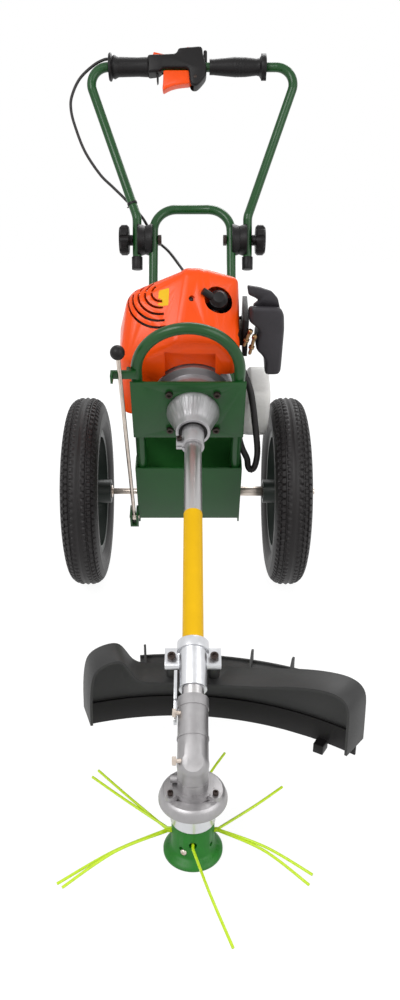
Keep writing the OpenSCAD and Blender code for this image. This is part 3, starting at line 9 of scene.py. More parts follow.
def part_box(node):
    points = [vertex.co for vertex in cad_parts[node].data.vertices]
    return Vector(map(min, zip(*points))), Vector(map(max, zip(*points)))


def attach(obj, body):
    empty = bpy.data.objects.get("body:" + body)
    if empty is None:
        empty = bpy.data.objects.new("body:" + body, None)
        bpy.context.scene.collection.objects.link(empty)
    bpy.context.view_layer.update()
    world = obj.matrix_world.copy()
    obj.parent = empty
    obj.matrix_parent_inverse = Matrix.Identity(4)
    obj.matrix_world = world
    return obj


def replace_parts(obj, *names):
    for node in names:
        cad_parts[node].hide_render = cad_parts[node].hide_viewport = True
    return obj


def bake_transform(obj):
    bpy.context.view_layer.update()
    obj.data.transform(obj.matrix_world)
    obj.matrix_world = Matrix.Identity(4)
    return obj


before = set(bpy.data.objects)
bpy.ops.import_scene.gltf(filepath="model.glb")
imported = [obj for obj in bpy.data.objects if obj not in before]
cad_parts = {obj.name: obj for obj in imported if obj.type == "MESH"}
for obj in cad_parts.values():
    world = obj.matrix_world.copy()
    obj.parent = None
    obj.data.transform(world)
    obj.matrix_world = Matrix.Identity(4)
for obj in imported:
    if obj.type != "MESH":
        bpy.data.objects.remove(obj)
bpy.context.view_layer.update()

scene = bpy.context.scene
scene.view_settings.view_transform = "Standard"

# Studio: a pale floor under three soft lamps, seen from before the string head and a little below the handle.
# The camera looks straight back along the machine, and 23 degrees down.
camera_place = Vector((0, -0.7576, 0.7963))
camera_down = math.radians(23.0)
camera_focus = 0.8063
sensor_tall = 36
frame_wide, frame_tall = 400, 1000
frame_middle = (193, 500)
camera = bpy.data.objects.new("camera", bpy.data.cameras.new("camera"))
scene.collection.objects.link(camera)
scene.camera = camera
camera.location = camera_place
camera.rotation_euler = (math.pi / 2 - camera_down, 0, 0)
camera.data.sensor_fit = "VERTICAL"
camera.data.sensor_height = sensor_tall
camera.data.lens = sensor_tall * camera_focus
camera.data.shift_x = (frame_wide / 2 - frame_middle[0]) / frame_tall


class Flow:
    """A socket of a node tree; sums and products of it add Math nodes."""

    def __init__(self, tree, socket=None):
        self.tree = tree
        self.socket = socket

    def put(self, kind, settings=None, sockets=None, out=0):
        node = self.tree.nodes.new(kind)
        for key, value in (settings or {}).items():
            setattr(node, key, value)
        for key, value in (sockets or {}).items():
            if isinstance(value, Flow):
                self.tree.links.new(value.socket, node.inputs[key])
            else:
                node.inputs[key].default_value = value
        return Flow(self.tree, node.outputs[out])

    def math(self, operation, first, second=0.0):
        return self.put("ShaderNodeMath", {"operation": operation}, {0: first, 1: second})

    def __add__(self, other):
        return self.math("ADD", self, other)

    def __mul__(self, other):
        return self.math("MULTIPLY", self, other)

    __radd__ = __add__
    __rmul__ = __mul__

    def span(self, low, high):
        """0 where this is low, 1 where it is high, and straight between."""
        return self.put("ShaderNodeMapRange", None, {0: self, 1: low, 2: high})

    def mix(self, low, high):
        """The colour low where this is 0 and high where it is 1."""
        return self.put("ShaderNodeMix", {"data_type": "RGBA"}, {0: self, 6: low, 7: high}, 2)


def lit_white(flow, surface, share, strength):
    """Mixes white into what the camera, a mirror or clear plastic sees of a surface."""
    seen = flow.put("ShaderNodeLightPath") + flow.put("ShaderNodeLightPath", out=3)
    seen = flow.math("MINIMUM", seen + flow.put("ShaderNodeLightPath", out=6), 1.0)
    white = flow.put("ShaderNodeEmission", None, {"Color": (1, 1, 1, 1), "Strength": strength})
    return flow.put("ShaderNodeMixShader", None, {0: seen * share, 1: surface, 2: white})


floor_half = 6.0
floor_drop = 0.0003
white_near, white_more = 0.8, 0.2
fade_from, fade_to = 0.6, 1.9
floor_glow = 1.14
floor_corners = [(x * floor_half, y * floor_half, 0) for x, y in ((-1, -1), (1, -1), (1, 1), (-1, 1))]
floor_mesh = bpy.data.meshes.new("floor")
floor_mesh.from_pydata(floor_corners, [], [(0, 1, 2, 3)])
floor = bpy.data.objects.new("floor", floor_mesh)
floor.location.z = -floor_drop
scene.collection.objects.link(floor)
floor_paper = bpy.data.materials.new("floor_paper")
floor_paper.use_nodes = True
flow = Flow(floor_paper.node_tree)
paper = floor_paper.node_tree.nodes["Principled BSDF"]
paper.inputs["Base Color"].default_value = (0.85, 0.85, 0.85, 1)
paper.inputs["Roughness"].default_value = 0.9
reach = flow.put("ShaderNodeVectorMath", {"operation": "LENGTH"}, {0: flow.put("ShaderNodeTexCoord", out=3)}, 1)
white_share = white_near + reach.span(fade_from, fade_to) * white_more
floor_seen = lit_white(flow, Flow(flow.tree, paper.outputs[0]), white_share, floor_glow)
flow.tree.links.new(floor_seen.socket, flow.tree.nodes["Material Output"].inputs[0])
floor_mesh.materials.append(floor_paper)

world = bpy.data.worlds.new("studio")
scene.world = world
world.use_nodes = True
flow = Flow(world.node_tree)
sky = world.node_tree.nodes["Background"]
sky.inputs["Color"].default_value = (1, 1, 1, 1)
sky.inputs["Strength"].default_value = 0.42
sky_seen = lit_white(flow, Flow(flow.tree, sky.outputs[0]), 1.0, 1.0)
flow.tree.links.new(sky_seen.socket, flow.tree.nodes["World Output"].inputs[0])

for lamp_name, place, target, size, watts in (("key", (-1.3, -1.2, 2.3), (0, 0.4, 0.3), 1.4, 44),
                                              ("fill", (1.7, -0.9, 1.5), (0, 0.4, 0.4), 1.6, 22),
                                              ("rim", (0.5, 2.6, 2.2), (0, 0.6, 0.5), 1.4, 30)):
    lamp = bpy.data.objects.new(lamp_name, bpy.data.lights.new(lamp_name, "AREA"))
    scene.collection.objects.link(lamp)
    lamp.location = place
    lamp.rotation_euler = (Vector(target) - Vector(place)).to_track_quat("-Z", "Y").to_euler()
    lamp.data.size = size
    lamp.data.energy = watts

# Frame: bent steel tube and folded sheet, welded together and powder coated in a glossy dark green.
# The coat has a faint orange-peel skin; short weld beads hold the front hoop to the back of the plate.
mm = 0.001
tilt = math.radians(24.7)
axle_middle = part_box("axle")[0].lerp(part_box("axle")[1], 0.5)
frame_middle_x = -8


def tilted(x, y, z):
    """A point in millimetres across, back along the shaft and up the plate, from the middle of the axle."""
    return Vector(((frame_middle_x + x) * mm, axle_middle.y + (y * math.cos(tilt) - z * math.sin(tilt)) * mm,
                   axle_middle.z + (y * math.sin(tilt) + z * math.cos(tilt)) * mm))


def srgb(red, green, blue):
    """A colour written as it looks on a screen, from 0 to 255."""
    linear = [((c / 255 + 0.055) / 1.055) ** 2.4 if c > 10 else c / 3294.6 for c in (red, green, blue)]
    return (*linear, 1.0)


def finish(name):
    """A new material, and an empty flow in its node tree."""
    material = bpy.data.materials.new(name)
    material.use_nodes = True
    return material, Flow(material.node_tree)


def coat(material, **sockets):
    """Sets the sockets of the material's shader, by name with _ for a space."""
    shader = material.node_tree.nodes["Principled BSDF"]
    for key, value in sockets.items():
        socket = shader.inputs[key.replace("_", " ")]
        if isinstance(value, Flow):
            material.node_tree.links.new(value.socket, socket)
        else:
            socket.default_value = value


def place_on(flow, scale=(1, 1, 1), turn=(0, 0, 0)):
    """The point on the piece, in metres, turned and stretched."""
    point = flow.put("ShaderNodeTexCoord", out=3)
    return flow.put("ShaderNodeMapping", None, {"Vector": point, "Rotation": turn, "Scale": scale})


def grain(flow, size, detail=2.0, place=None):
    """Noise from 0 to 1 whose grains are about size metres across."""
    return flow.put("ShaderNodeTexNoise", None, {"Vector": place or place_on(flow), "Scale": 1 / size,
                                                 "Detail": detail, "Roughness": 0.55})


def bumps(flow, height, depth):
    """A surface normal raised by height times depth metres."""
    return flow.put("ShaderNodeBump", None, {"Height": height, "Distance": depth, "Strength": 1.0})


def dress(material, *names, edge=0.5, crease=38):
    """Gives CAD nodes a finish, and rounds edges sharper than crease degrees by edge millimetres."""
    for name in names:
        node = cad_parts[name]
        node.data.materials.clear()
        node.data.materials.append(material)
        node.data.polygons.foreach_set("use_smooth", [True] * len(node.data.polygons))
        weld = node.modifiers.new("weld", "WELD")
        weld.merge_threshold = 1e-6
        flat = node.modifiers.new("flat", "DECIMATE")
        flat.decimate_type = "DISSOLVE"
        flat.angle_limit = math.radians(0.4)
        if edge:
            round_edge = node.modifiers.new("edge", "BEVEL")
            round_edge.width = edge * mm
            round_edge.segments = 2
            round_edge.limit_method = "ANGLE"
            round_edge.angle_limit = math.radians(crease)
        split = node.modifiers.new("split", "EDGE_SPLIT")
        split.split_angle = math.radians(crease)


def piece(name, shapes, material, body=None, crease=38):
    """A new piece made of (points, faces) shapes, which moves with a body where one is named."""
    points, faces = [], []
    for some_points, some_faces in shapes:
        faces += [tuple(i + len(points) for i in face) for face in some_faces]
        points += [tuple(p) for p in some_points]
    mesh = bpy.data.meshes.new(name)
    mesh.from_pydata(points, [], faces)
    shape = bmesh.new()
    shape.from_mesh(mesh)
    bmesh.ops.recalc_face_normals(shape, faces=shape.faces)
    shape.to_mesh(mesh)
    shape.free()
    mesh.materials.append(material)
    mesh.polygons.foreach_set("use_smooth", [True] * len(mesh.polygons))
    made = bpy.data.objects.new(name, mesh)
    scene.collection.objects.link(made)
    split = made.modifiers.new("split", "EDGE_SPLIT")
    split.split_angle = math.radians(crease)
    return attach(made, body) if body else made


def ring_faces(rings, around, loop=False):
    """Quads between rings of points, each around points long, with the ends filled unless they meet."""
    faces = []
    for i in range(rings if loop else rings - 1):
        a, b = i * around, (i + 1) % rings * around
        faces += [(a + k, a + (k + 1) % around, b + (k + 1) % around, b + k) for k in range(around)]
    if not loop:
        faces.append(tuple(reversed(range(around))))
        faces.append(tuple(range((rings - 1) * around, rings * around)))
    return faces


def tube(path, radii, sides=12):
    """A round tube along a path, with a radius at each point, as (points, faces)."""
    points = []
    side = None
    for i, middle in enumerate(path):
        way = (path[min(i + 1, len(path) - 1)] - path[max(i - 1, 0)]).normalized()
        side = side or (Vector((0, 0, 1)) if abs(way.z) < 0.8 else Vector((1, 0, 0)))
        side = (side - way * side.dot(way)).normalized()
        other = way.cross(side)
        for k in range(sides):
            turn = 2 * math.pi * k / sides
            points.append(middle + radii[i] * (math.cos(turn) * side + math.sin(turn) * other))
    return points, ring_faces(len(path), sides)


frame_paint, flow = finish("green_powder_coat")
peel = grain(flow, 2.2 * mm)
dust = grain(flow, 60 * mm, 4.0)
coat(frame_paint, Base_Color=dust.mix(srgb(14, 62, 22), srgb(22, 78, 30)), Roughness=0.26 + dust * 0.14,
     Normal=bumps(flow, peel, 0.12 * mm), Specular_IOR_Level=0.3, Coat_Weight=0.16, Coat_Roughness=0.1)
dress(frame_paint, "base_box", "front_hoop", "engine_plate", "rear_hoop", "handlebar")

bead_r = 2.0
bead_points = 27
bead_across, bead_y = 79.6, -51.6
bead_starts = (206, 244, 282)
bead_swell = [0.62 if i in (0, bead_points - 1) else 1 + 0.1 * (i % 3 - 1) for i in range(bead_points)]
beads = []
for side in (-1, 1):
    for low in bead_starts:
        run = [tilted(side * bead_across, bead_y, low + step) for step in range(bead_points)]
        beads.append(tube(run, [bead_r * mm * swell for swell in bead_swell], 8))
piece("weld_beads", beads, frame_paint, "chassis")

# Back sheet of the box: a plain folded sheet lapped inside the low back wall, up to just under the tank.
# Its top edge is hemmed, and its inner face is the tubes' green coat painted lighter, a painted highlight where
# light falls on it.
# The green coat again, painted lighter as a painted highlight.
painted_highlight_coat, flow = finish("green_coat_painted_highlight")
peel = grain(flow, 2.2 * mm)
dust = grain(flow, 40 * mm, 4.0)
coat(painted_highlight_coat, Base_Color=dust.mix(srgb(64, 158, 72), srgb(86, 180, 92)), Roughness=0.4 + dust * 0.14,
     Normal=bumps(flow, peel, 0.12 * mm))
sheet_line = [(66.7, -8), (66.7, 115), (66.2, 116.6), (64.9, 117.6), (63.2, 117.6), (61.9, 116.6), (61.4, 115),
              (61.4, 107),
              (62.8, 107), (62.8, 114.6), (63.4, 115.6), (64.2, 114.6), (64.3, -8)]
sheet_ends = [(-92.6, 0.97), (-91.6, 1), (91.6, 1), (92.6, 0.97)]
sheet_middle = 71
sheet_points = []
for x, share in sheet_ends:
    sheet_points += [tilted(x, y, sheet_middle + (z - sheet_middle) * share) for y, z in sheet_line]
sheet_faces = ring_faces(len(sheet_ends), len(sheet_line))
back_sheet = piece("back_sheet", [(sheet_points, sheet_faces)], frame_paint, "chassis", 50)
# The faces turned to the front get the lighter coat: painted light on one side of the sheet.
back_sheet.data.materials.append(painted_highlight_coat)
turned_front = [int(face.normal.y < -0.5) for face in back_sheet.data.polygons]
back_sheet.data.polygons.foreach_set("material_index", turned_front)

# Axle: a plain turned steel bar through the box, with zinc-plated spacer, washers and nuts.
# The plating is bright with faint turning marks round the bar.
zinc, flow = finish("zinc_plate")
turned_marks = grain(flow, 0.7 * mm, 2.0, place_on(flow, (1.0, 0.04, 0.04)))
cloud = grain(flow, 14 * mm)
coat(zinc, Base_Color=cloud.mix(srgb(186, 170, 156), srgb(222, 214, 206)), Metallic=1.0,
     Roughness=0.2 + turned_marks * 0.22, Normal=bumps(flow, turned_marks, 0.05 * mm))
dress(zinc, "axle", "axle_hardware", edge=0.4)

# Tyres: narrow pneumatic tyres of black rubber, moulded with rows of small blocks round the crown.
# Each row is cut by cross slots, and fine rings mark the side walls.
tread_rows = (-62, -43, -24, -6, 6, 24, 43, 62)
slot_shift = (0.0, 0.5, 0.0, 0.25, 0.5, 0.0, 0.5)
tread_pitches = 88
tread_depth = 2.6 * mm
groove_half = 1.6
slot_share = 0.25
plain_row = 3
ring_rise = 0.5 * mm
steps_per_pitch = 5
tyre_seat = 116.3 * mm
tyre_lip = 122.5 * mm
tyre_bead = 21.7 * mm
seat_play = 0.3 * mm
crown_power, wall_power = 2 / 2.7, 2 / 2.5
tread_angles = [-62, -58, -54, -50, -46, -44.5, -43, -41.5, -38, -32, -27,
                -25.5, -24, -22.5, -18, -12, -7.5, -6, -4.5]
wall_angles = [70, 74, 80, 82, 84, 92, 100, 102, 104, 112, 122, 131, 138]
wall_rings = (82, 102)


def tread_cut(angle, turn):
    """How deep the tread lies below its crown, at an angle across and a share of a pitch round."""
    if abs(angle) >= tread_rows[-1]:
        return -ring_rise if abs(angle) in wall_rings else 0.0
    row = max(i for i, edge in enumerate(tread_rows[:-1]) if angle >= edge - 1e-6)
    if min(abs(angle - edge) for edge in tread_rows) < groove_half:
        return tread_depth
    return tread_depth if (turn + slot_shift[row]) % 1.0 < slot_share and row != plain_row else 0.0


def tyre(name, node, body, material):
    """A treaded tyre of the CAD tyre's size, in its place."""
    low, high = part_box(node)
    hub = (low + high) / 2
    outer = (high.z - low.z) / 2
    half_wide = (high.x - low.x) / 2 - ring_rise
    middle = (outer + tyre_seat - seat_play) / 2
    rise = outer - middle
    across = tread_angles + [0] + [-a for a in reversed(tread_angles)]
    angles = [-a for a in reversed(wall_angles)] + across + wall_angles
    points = []
    steps = tread_pitches * steps_per_pitch
    for step in range(steps):
        about = 2 * math.pi * step / steps
        section = []
        for angle in angles:
            c, s = math.cos(math.radians(angle)), math.sin(math.radians(angle))
            r = middle + rise * math.copysign(abs(c) ** crown_power, c)
            w = half_wide * math.copysign(abs(s) ** wall_power, s)
            cut = tread_cut(angle, step % steps_per_pitch / steps_per_pitch)
            length = math.hypot(r - middle, w)
            section.append((r - cut * (r - middle) / length, w - cut * w / length))
        section += [(tyre_lip, tyre_bead), (tyre_seat, tyre_bead), (tyre_seat, -tyre_bead),
                    (tyre_lip, -tyre_bead)]
        points += [(hub.x + w, hub.y + r * math.cos(about), hub.z + r * math.sin(about)) for r, w in section]
    shape = (points, ring_faces(steps, len(section), loop=True))
    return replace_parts(piece(name, [shape], material, body, 32), node)


tyre_rubber, flow = finish("tyre_rubber")
skin = grain(flow, 0.8 * mm)
bloom = grain(flow, 40 * mm, 4.0)
coat(tyre_rubber, Base_Color=bloom.mix(srgb(14, 11, 12), srgb(26, 22, 23)), Roughness=0.44 + bloom * 0.16,
     Normal=bumps(flow, skin, 0.12 * mm), Specular_IOR_Level=0.34)
tyre("tyre_left", "left_tyre", "left_wheel", tyre_rubber)
tyre("tyre_right", "right_tyre", "right_wheel", tyre_rubber)

# Rims: spoked mouldings of dark nylon, pushed on the axle and held by its nuts.
# A rubber valve with a plain cap stands in one window of each.
rim_plastic, flow = finish("rim_plastic")
skin = grain(flow, 0.6 * mm)
coat(rim_plastic, Base_Color=grain(flow, 30 * mm).mix(srgb(12, 24, 18), srgb(22, 34, 28)),
     Roughness=0.34 + skin * 0.12,
     Normal=bumps(flow, skin, 0.06 * mm), Specular_IOR_Level=0.35)
dress(rim_plastic, "left_rim", "right_rim", edge=0.8)


def turned(profile, foot, axis, sides=24, flats=()):
    """A body of (radius, height) rings in millimetres about an axis; the rings in flats are hexagons."""
    axis = Vector(axis).normalized()
    side = axis.orthogonal().normalized()
    other = axis.cross(side)
    points = []
    for i, (radius, height) in enumerate(profile):
        for k in range(sides):
            turn = 2 * math.pi * k / sides
            r = radius
            if i in flats:
                r = radius / math.cos((turn + math.pi / 6) % (math.pi / 3) - math.pi / 6)
            aside = math.cos(turn) * side + math.sin(turn) * other
            points.append(Vector(foot) + mm * (height * axis + r * aside))
    return points, ring_faces(len(profile), sides)


valve_drop = 5.3 * mm
valve_line = [(5.5, -1), (5.5, 2), (3.6, 5), (3.2, 16), (2.4, 16.5), (2.4, 19), (3.3, 19.2),
              (3.3, 26), (2.6, 27.5)]
for wheel in ("left", "right"):
    low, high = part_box(wheel + "_rim")
    hub = (low + high) / 2
    valve = turned(valve_line, hub + Vector((0, 0, tyre_seat - valve_drop)), (0, 0, -1), 20)
    piece("valve_" + wheel, [valve], tyre_rubber, wheel + "_wheel")

# Clutch and shaft: a cast alloy cone on the plate, a rubber ring in its nose and a split collar on the tube.
# The cast skin is finely pitted; the tube is drawn aluminium, polished along its length.
cast_alloy, flow = finish("cast_alloy")
pits = grain(flow, 0.9 * mm, 3.0)
cloud = grain(flow, 18 * mm, 3.0)
coat(cast_alloy, Base_Color=cloud.mix(srgb(160, 158, 160), srgb(190, 189, 191)), Metallic=0.85,
     Roughness=0.34 + cloud * 0.16, Normal=bumps(flow, pits, 0.16 * mm))
dress(cast_alloy, "clutch_housing", "tube_collar", "fan_housing", "crankcase", "cylinder", edge=0.8)

tube_alloy, flow = finish("drawn_aluminium")
drawn = grain(flow, 0.5 * mm, 3.0, place_on(flow, (1.0, 1.0, 0.015), (-tilt - math.pi / 2, 0, 0)))
coat(tube_alloy, Base_Color=drawn.mix(srgb(168, 166, 166), srgb(200, 198, 198)), Metallic=0.95,
     Roughness=0.24 + drawn * 0.16, Normal=bumps(flow, drawn, 0.04 * mm))
dress(tube_alloy, "shaft_tube", edge=0.4)

bright_cast, flow = finish("tumbled_alloy")
pits = grain(flow, 1.4 * mm, 3.0)
cloud = grain(flow, 12 * mm, 3.0)
coat(bright_cast, Base_Color=cloud.mix(srgb(196, 197, 200), srgb(222, 223, 226)), Metallic=0.9,
     Roughness=0.24 + cloud * 0.14, Normal=bumps(flow, pits, 0.1 * mm))
dress(bright_cast, "guard_clamp", "guard_strap", "head_collar", edge=0.8)

dark_steel, flow = finish("black_oxide_steel")
cloud = grain(flow, 3 * mm)
coat(dark_steel, Base_Color=cloud.mix(srgb(44, 38, 36), srgb(78, 68, 64)), Metallic=0.9,
     Roughness=0.34 + cloud * 0.2,
     Normal=bumps(flow, cloud, 0.08 * mm))
dress(dark_steel, "screws", "clamp_bolts", edge=0.3)
dress(zinc, "arbor", "drive_shaft", edge=0.3)

# Label: a plain yellow vinyl film wrapped most of the way round the tube, open underneath.
# The film is thin and creeps a little, so its skin has faint long waves.
label_from, label_to = -288, -515
label_r = 14.25
label_t = 0.2
label_wrap = math.radians(150)
shaft_x, shaft_z = 8, 258.3

film, flow = finish("yellow_film")
wave = grain(flow, 26 * mm)
coat(film, Base_Color=wave.mix(srgb(226, 176, 4), srgb(236, 186, 8)),
     Roughness=0.42 + grain(flow, 4 * mm) * 0.12,
     Normal=bumps(flow, wave, 0.3 * mm), Specular_IOR_Level=0.2)


def wrapped(y, turn, r):
    """A point on a ring round the shaft; turn 0 is its top."""
    return tilted(shaft_x + r * math.sin(turn), y, shaft_z + r * math.cos(turn))


label_points = []
label_steps, label_rows = 60, 12
for row in range(label_rows + 1):
    y = label_from + (label_to - label_from) * row / label_rows
    ease = 1 - 0.02 * (row in (0, label_rows))
    turns = [label_wrap * ease * (2 * k / label_steps - 1) for k in range(label_steps + 1)]
    label_points += [wrapped(y, t, label_r) for t in turns]
    label_points += [wrapped(y, t, label_r - label_t) for t in reversed(turns)]
label_shape = (label_points, ring_faces(label_rows + 1, 2 * label_steps + 2))
piece("shaft_label", [label_shape], film, "chassis", 60)

# Soft black parts: rubber and glass-filled nylon with a fine spark-eroded skin.
# The same finish is on the grips, the clamp saddles, the knobs and the starter.
black_plastic, flow = finish("black_plastic")
skin = grain(flow, 0.5 * mm, 3.0)
wide = grain(flow, 25 * mm)
coat(black_plastic, Base_Color=wide.mix(srgb(10, 8, 9), srgb(18, 16, 17)), Roughness=0.36 + skin * 0.2,
     Normal=bumps(flow, skin, 0.1 * mm), Specular_IOR_Level=0.26)
dress(black_plastic, "clutch_bush", "guard_skirt", "spark_plug_cap", "filter_base", "starter_housing",
      "lower_saddles",
      "upper_saddles", "throttle_grip", "right_grip", "end_caps", "left_star_knob", "right_star_knob",
      "lever_ball", "fuel_cap", "starter_grip", "choke_lever", edge=0.6)

# Guard: a moulding of grey polypropylene screwed to the clamp's ears, with a rolled band round its top.
# Its skin is satin and finely grained.
guard_plastic, flow = finish("guard_plastic")
skin = grain(flow, 0.6 * mm, 3.0)
coat(guard_plastic, Base_Color=grain(flow, 50 * mm).mix(srgb(42, 42, 42), srgb(52, 52, 52)),
     Roughness=0.44 + skin * 0.16,
     Normal=bumps(flow, skin, 0.1 * mm), Specular_IOR_Level=0.35)
dress(guard_plastic, "guard", edge=0.8)

# Gear head: a sand-cast case bent to the upright arbor, with a three-lobed flange over a turned shield.
# Its grey skin is rougher and darker than the clutch cone's.
sand_cast, flow = finish("sand_cast_alloy")
pits = grain(flow, 1.1 * mm, 4.0)
cloud = grain(flow, 16 * mm, 3.0)
coat(sand_cast, Base_Color=cloud.mix(srgb(146, 144, 145), srgb(176, 174, 175)), Metallic=0.85,
     Roughness=0.32 + cloud * 0.16, Normal=bumps(flow, pits, 0.22 * mm))
dress(sand_cast, "gear_case", "gear_shield", edge=0.8)


def seen(node, across, down):
    """Where the camera's line through a pixel of the picture meets a CAD node, and the face's normal."""
    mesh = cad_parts[node].data
    tree = BVHTree.FromPolygons([v.co for v in mesh.vertices], [tuple(p.vertices) for p in mesh.polygons])
    x, y = (across - frame_middle[0]) / frame_tall, (frame_middle[1] - down) / frame_tall
    ray = Vector((x, y, -camera_focus))
    ray.rotate(camera.rotation_euler)
    place, normal, _, _ = tree.ray_cast(camera_place, ray.normalized())
    return place, normal if normal.dot(ray) < 0 else -normal


def button_screw(place, normal, wide, tall):
    """A button-head screw with a hexagon socket, wide millimetres across."""
    r = wide / 2
    line = [(r, -1.0), (r, 0.25 * tall), (0.86 * r, 0.7 * tall), (0.6 * r, tall),
            (0.46 * r, tall), (0.44 * r, 0.4 * tall)]
    return turned(line, place, normal, 24, flats=(4, 5))


bolt_line = [(2.6, -3), (2.6, 4), (4.6, 4), (5, 4.6), (5, 8.4), (4.4, 9)]
case_bolts = [turned(bolt_line, seen("gear_case", across, down)[0], (-1, 0, 0), 24, flats=(2, 3, 4, 5))
              for across, down in ((179.5, 713), (179.5, 761))]
piece("case_bolts", case_bolts, zinc, "chassis")

# String head: a moulding of green nylon on the arbor, with holes for the lines and a small screw in its side.
# The collar above it is turned bright.
head_plastic, flow = finish("head_nylon")
skin = grain(flow, 0.8 * mm, 3.0)
coat(head_plastic, Base_Color=grain(flow, 20 * mm).mix(srgb(14, 96, 16), srgb(26, 118, 26)),
     Roughness=0.34 + skin * 0.14,
     Normal=bumps(flow, skin, 0.1 * mm), Specular_IOR_Level=0.35)
dress(head_plastic, "string_head", edge=0.8)
head_screw = button_screw(*seen("string_head", 183.6, 852.4), 8.5, 2.0)
piece("head_screw", [head_screw], zinc, "cutter")

# Lines: cut lengths of stiff nylon pushed through the head's holes, up to four to a hole.
# They are round, lime yellow, and glow a little where light comes through.
nylon_line, flow = finish("nylon_line")
skin = grain(flow, 3 * mm)
coat(nylon_line, Base_Color=skin.mix(srgb(186, 220, 16), srgb(206, 236, 40)), Roughness=0.3 + skin * 0.1,
     Normal=bumps(flow, skin, 0.1 * mm), Subsurface_Weight=0.15, Subsurface_Radius=(0.003, 0.003, 0.001))


def smooth(points, steps):
    """Points on a smooth curve through the given points, steps to each stretch."""
    p = [Vector(q) for q in points]
    last = len(p) - 1
    made = []
    for i in range(last):
        a, b, c, d = p[max(i - 1, 0)], p[i], p[i + 1], p[min(i + 2, last)]
        for t in (k / steps for k in range(steps)):
            made.append(0.5 * (2 * b + (c - a) * t + (2 * a - 5 * b + 4 * c - d) * t * t
                               + (3 * b - a - 3 * c + d) * t ** 3))
    return made + [p[last]]


line_height = 33
line_thick = 3.5
hole_reach = 31.5
line_root = 12.3
line_plan = [(180, -1.5, 1, (-134, 88), 6), (180, -1, -1, (-127, 99), 8), (180, 1, 1, (-155, -82), 2),
             (180, 1.5, -1, (-148, -89), 6), (270, 0, 0, (42, -164), 4), (0, -1.5, 1, (138, -70), 3),
             (0, -1, -1, (132, -85), 5), (90, -1, 0, (44, 136), 4), (0, 1.5, 0, (117, 70), 5)]
for number, (hole, aside, up, end, lift) in enumerate(line_plan):
    out = Vector((math.cos(math.radians(hole)), math.sin(math.radians(hole)), 0))
    side = Vector((-out.y, out.x, 0)) * aside + Vector((0, 0, line_height + up))
    tip = Vector((*end, line_height + lift / 2))
    mouth = out * hole_reach + side
    bow = 0.55 * mouth + 0.45 * tip + 8 * out + Vector((0, 0, lift))
    inside = [out * line_root + side, out * (line_root + hole_reach) / 2 + side]
    path = [p * mm for p in inside + smooth([mouth, bow, tip], 12)]
    length = sum((b - a).length for a, b in zip(path, path[1:]))
    nylon_tube = tube(path, [line_thick / 2 * mm] * len(path))
    nylon = piece("line_%d" % (number + 1), [nylon_tube], nylon_line, "cutter")
    if number == 0:
        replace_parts(nylon, "trimmer_lines")

# Engine cover: a glossy orange moulding over the cylinder, held by one screw down its middle.
# A small blank yellow label sits on its top, beside the vents.
orange, flow = finish("orange_moulding")
skin = grain(flow, 4 * mm)
coat(orange, Base_Color=grain(flow, 80 * mm).mix(srgb(238, 72, 6), srgb(248, 84, 10)),
     Roughness=0.27 + skin * 0.08,
     Normal=bumps(flow, skin, 0.08 * mm), Specular_IOR_Level=0.28)
dress(orange, "engine_cover", "lockout_lever", edge=0.8, crease=32)

cover_label = [Vector(c) for c in ((158.8, 290.8), (169.2, 287.9), (168.4, 305.3), (157.8, 306.8))]
label_grid = 10
corner_in = 0.05
label_out, label_in = 0.35, 0.2
top_points, low_points = [], []
for row in range(label_grid + 1):
    for column in range(label_grid + 1):
        a, b = 2 * column / label_grid - 1, 2 * row / label_grid - 1
        a, b = 0.5 + 0.5 * a * (1 - corner_in * b ** 8), 0.5 + 0.5 * b * (1 - corner_in * a ** 8)
        spot = cover_label[0].lerp(cover_label[1], a).lerp(cover_label[3].lerp(cover_label[2], a), b)
        place, normal = seen("engine_cover", *spot)
        top_points.append(place + normal * label_out * mm)
        low_points.append(place - normal * label_in * mm)
wide = label_grid + 1
count = wide * wide
label_faces = []
for row in range(label_grid):
    for column in range(label_grid):
        a = row * wide + column
        label_faces.append((a, a + 1, a + wide + 1, a + wide))
        label_faces.append((count + a, count + a + wide, count + a + wide + 1, count + a + 1))
rim_way = list(range(wide)) + [k * wide + label_grid for k in range(1, wide)]
rim_way += [label_grid * wide + k for k in reversed(range(label_grid))]
rim_way += [k * wide for k in reversed(range(1, label_grid))]
label_faces += [(a, count + a, count + b, b) for a, b in zip(rim_way, rim_way[1:] + rim_way[:1])]
piece("cover_label", [(top_points + low_points, label_faces)], film, "chassis", 60)
cover_screw = button_screw(*seen("engine_cover", 190.6, 299.6), 9, 3)
piece("cover_screw", [cover_screw], dark_steel, "chassis")

# Shade block: a black moulding under the cover, put in the space beside the spark plug as painted shade for
# that recess.
# It lies on the cylinder's top and carries three low ribs.
shade_block_z = 385.6


def block(low, high, ease=1.0):
    """A box with its edges eased, between two corners in millimetres of the tilted frame."""
    (x0, y0, z0), (x1, y1, z1) = low, high
    points = []
    for z, inset in ((z0, ease), (z0 + ease, 0), (z1 - ease, 0), (z1, ease)):
        ring = []
        for x, y, a, b in ((x0, y0, 1, 1), (x1, y0, -1, 1), (x1, y1, -1, -1), (x0, y1, 1, -1)):
            ends = [(x + a * inset, y + b * (inset + ease)), (x + a * (inset + ease), y + b * inset)]
            ring += ends if a * b > 0 else ends[::-1]
        points += [tilted(x, y, z) for x, y in ring]
    return points, ring_faces(4, 8)


# Black blocks that stand in for the shade in the recess by the plug: painted shade.
shade_blocks = [block((50.5, 26, shade_block_z), (78, 90, shade_block_z + 3))]
shade_blocks += [block((54 + 9 * k, 30, shade_block_z + 2.5), (56.4 + 9 * k, 86, shade_block_z + 7)) for k in range(3)]
piece("painted_shade_block", shade_blocks, black_plastic, "chassis")

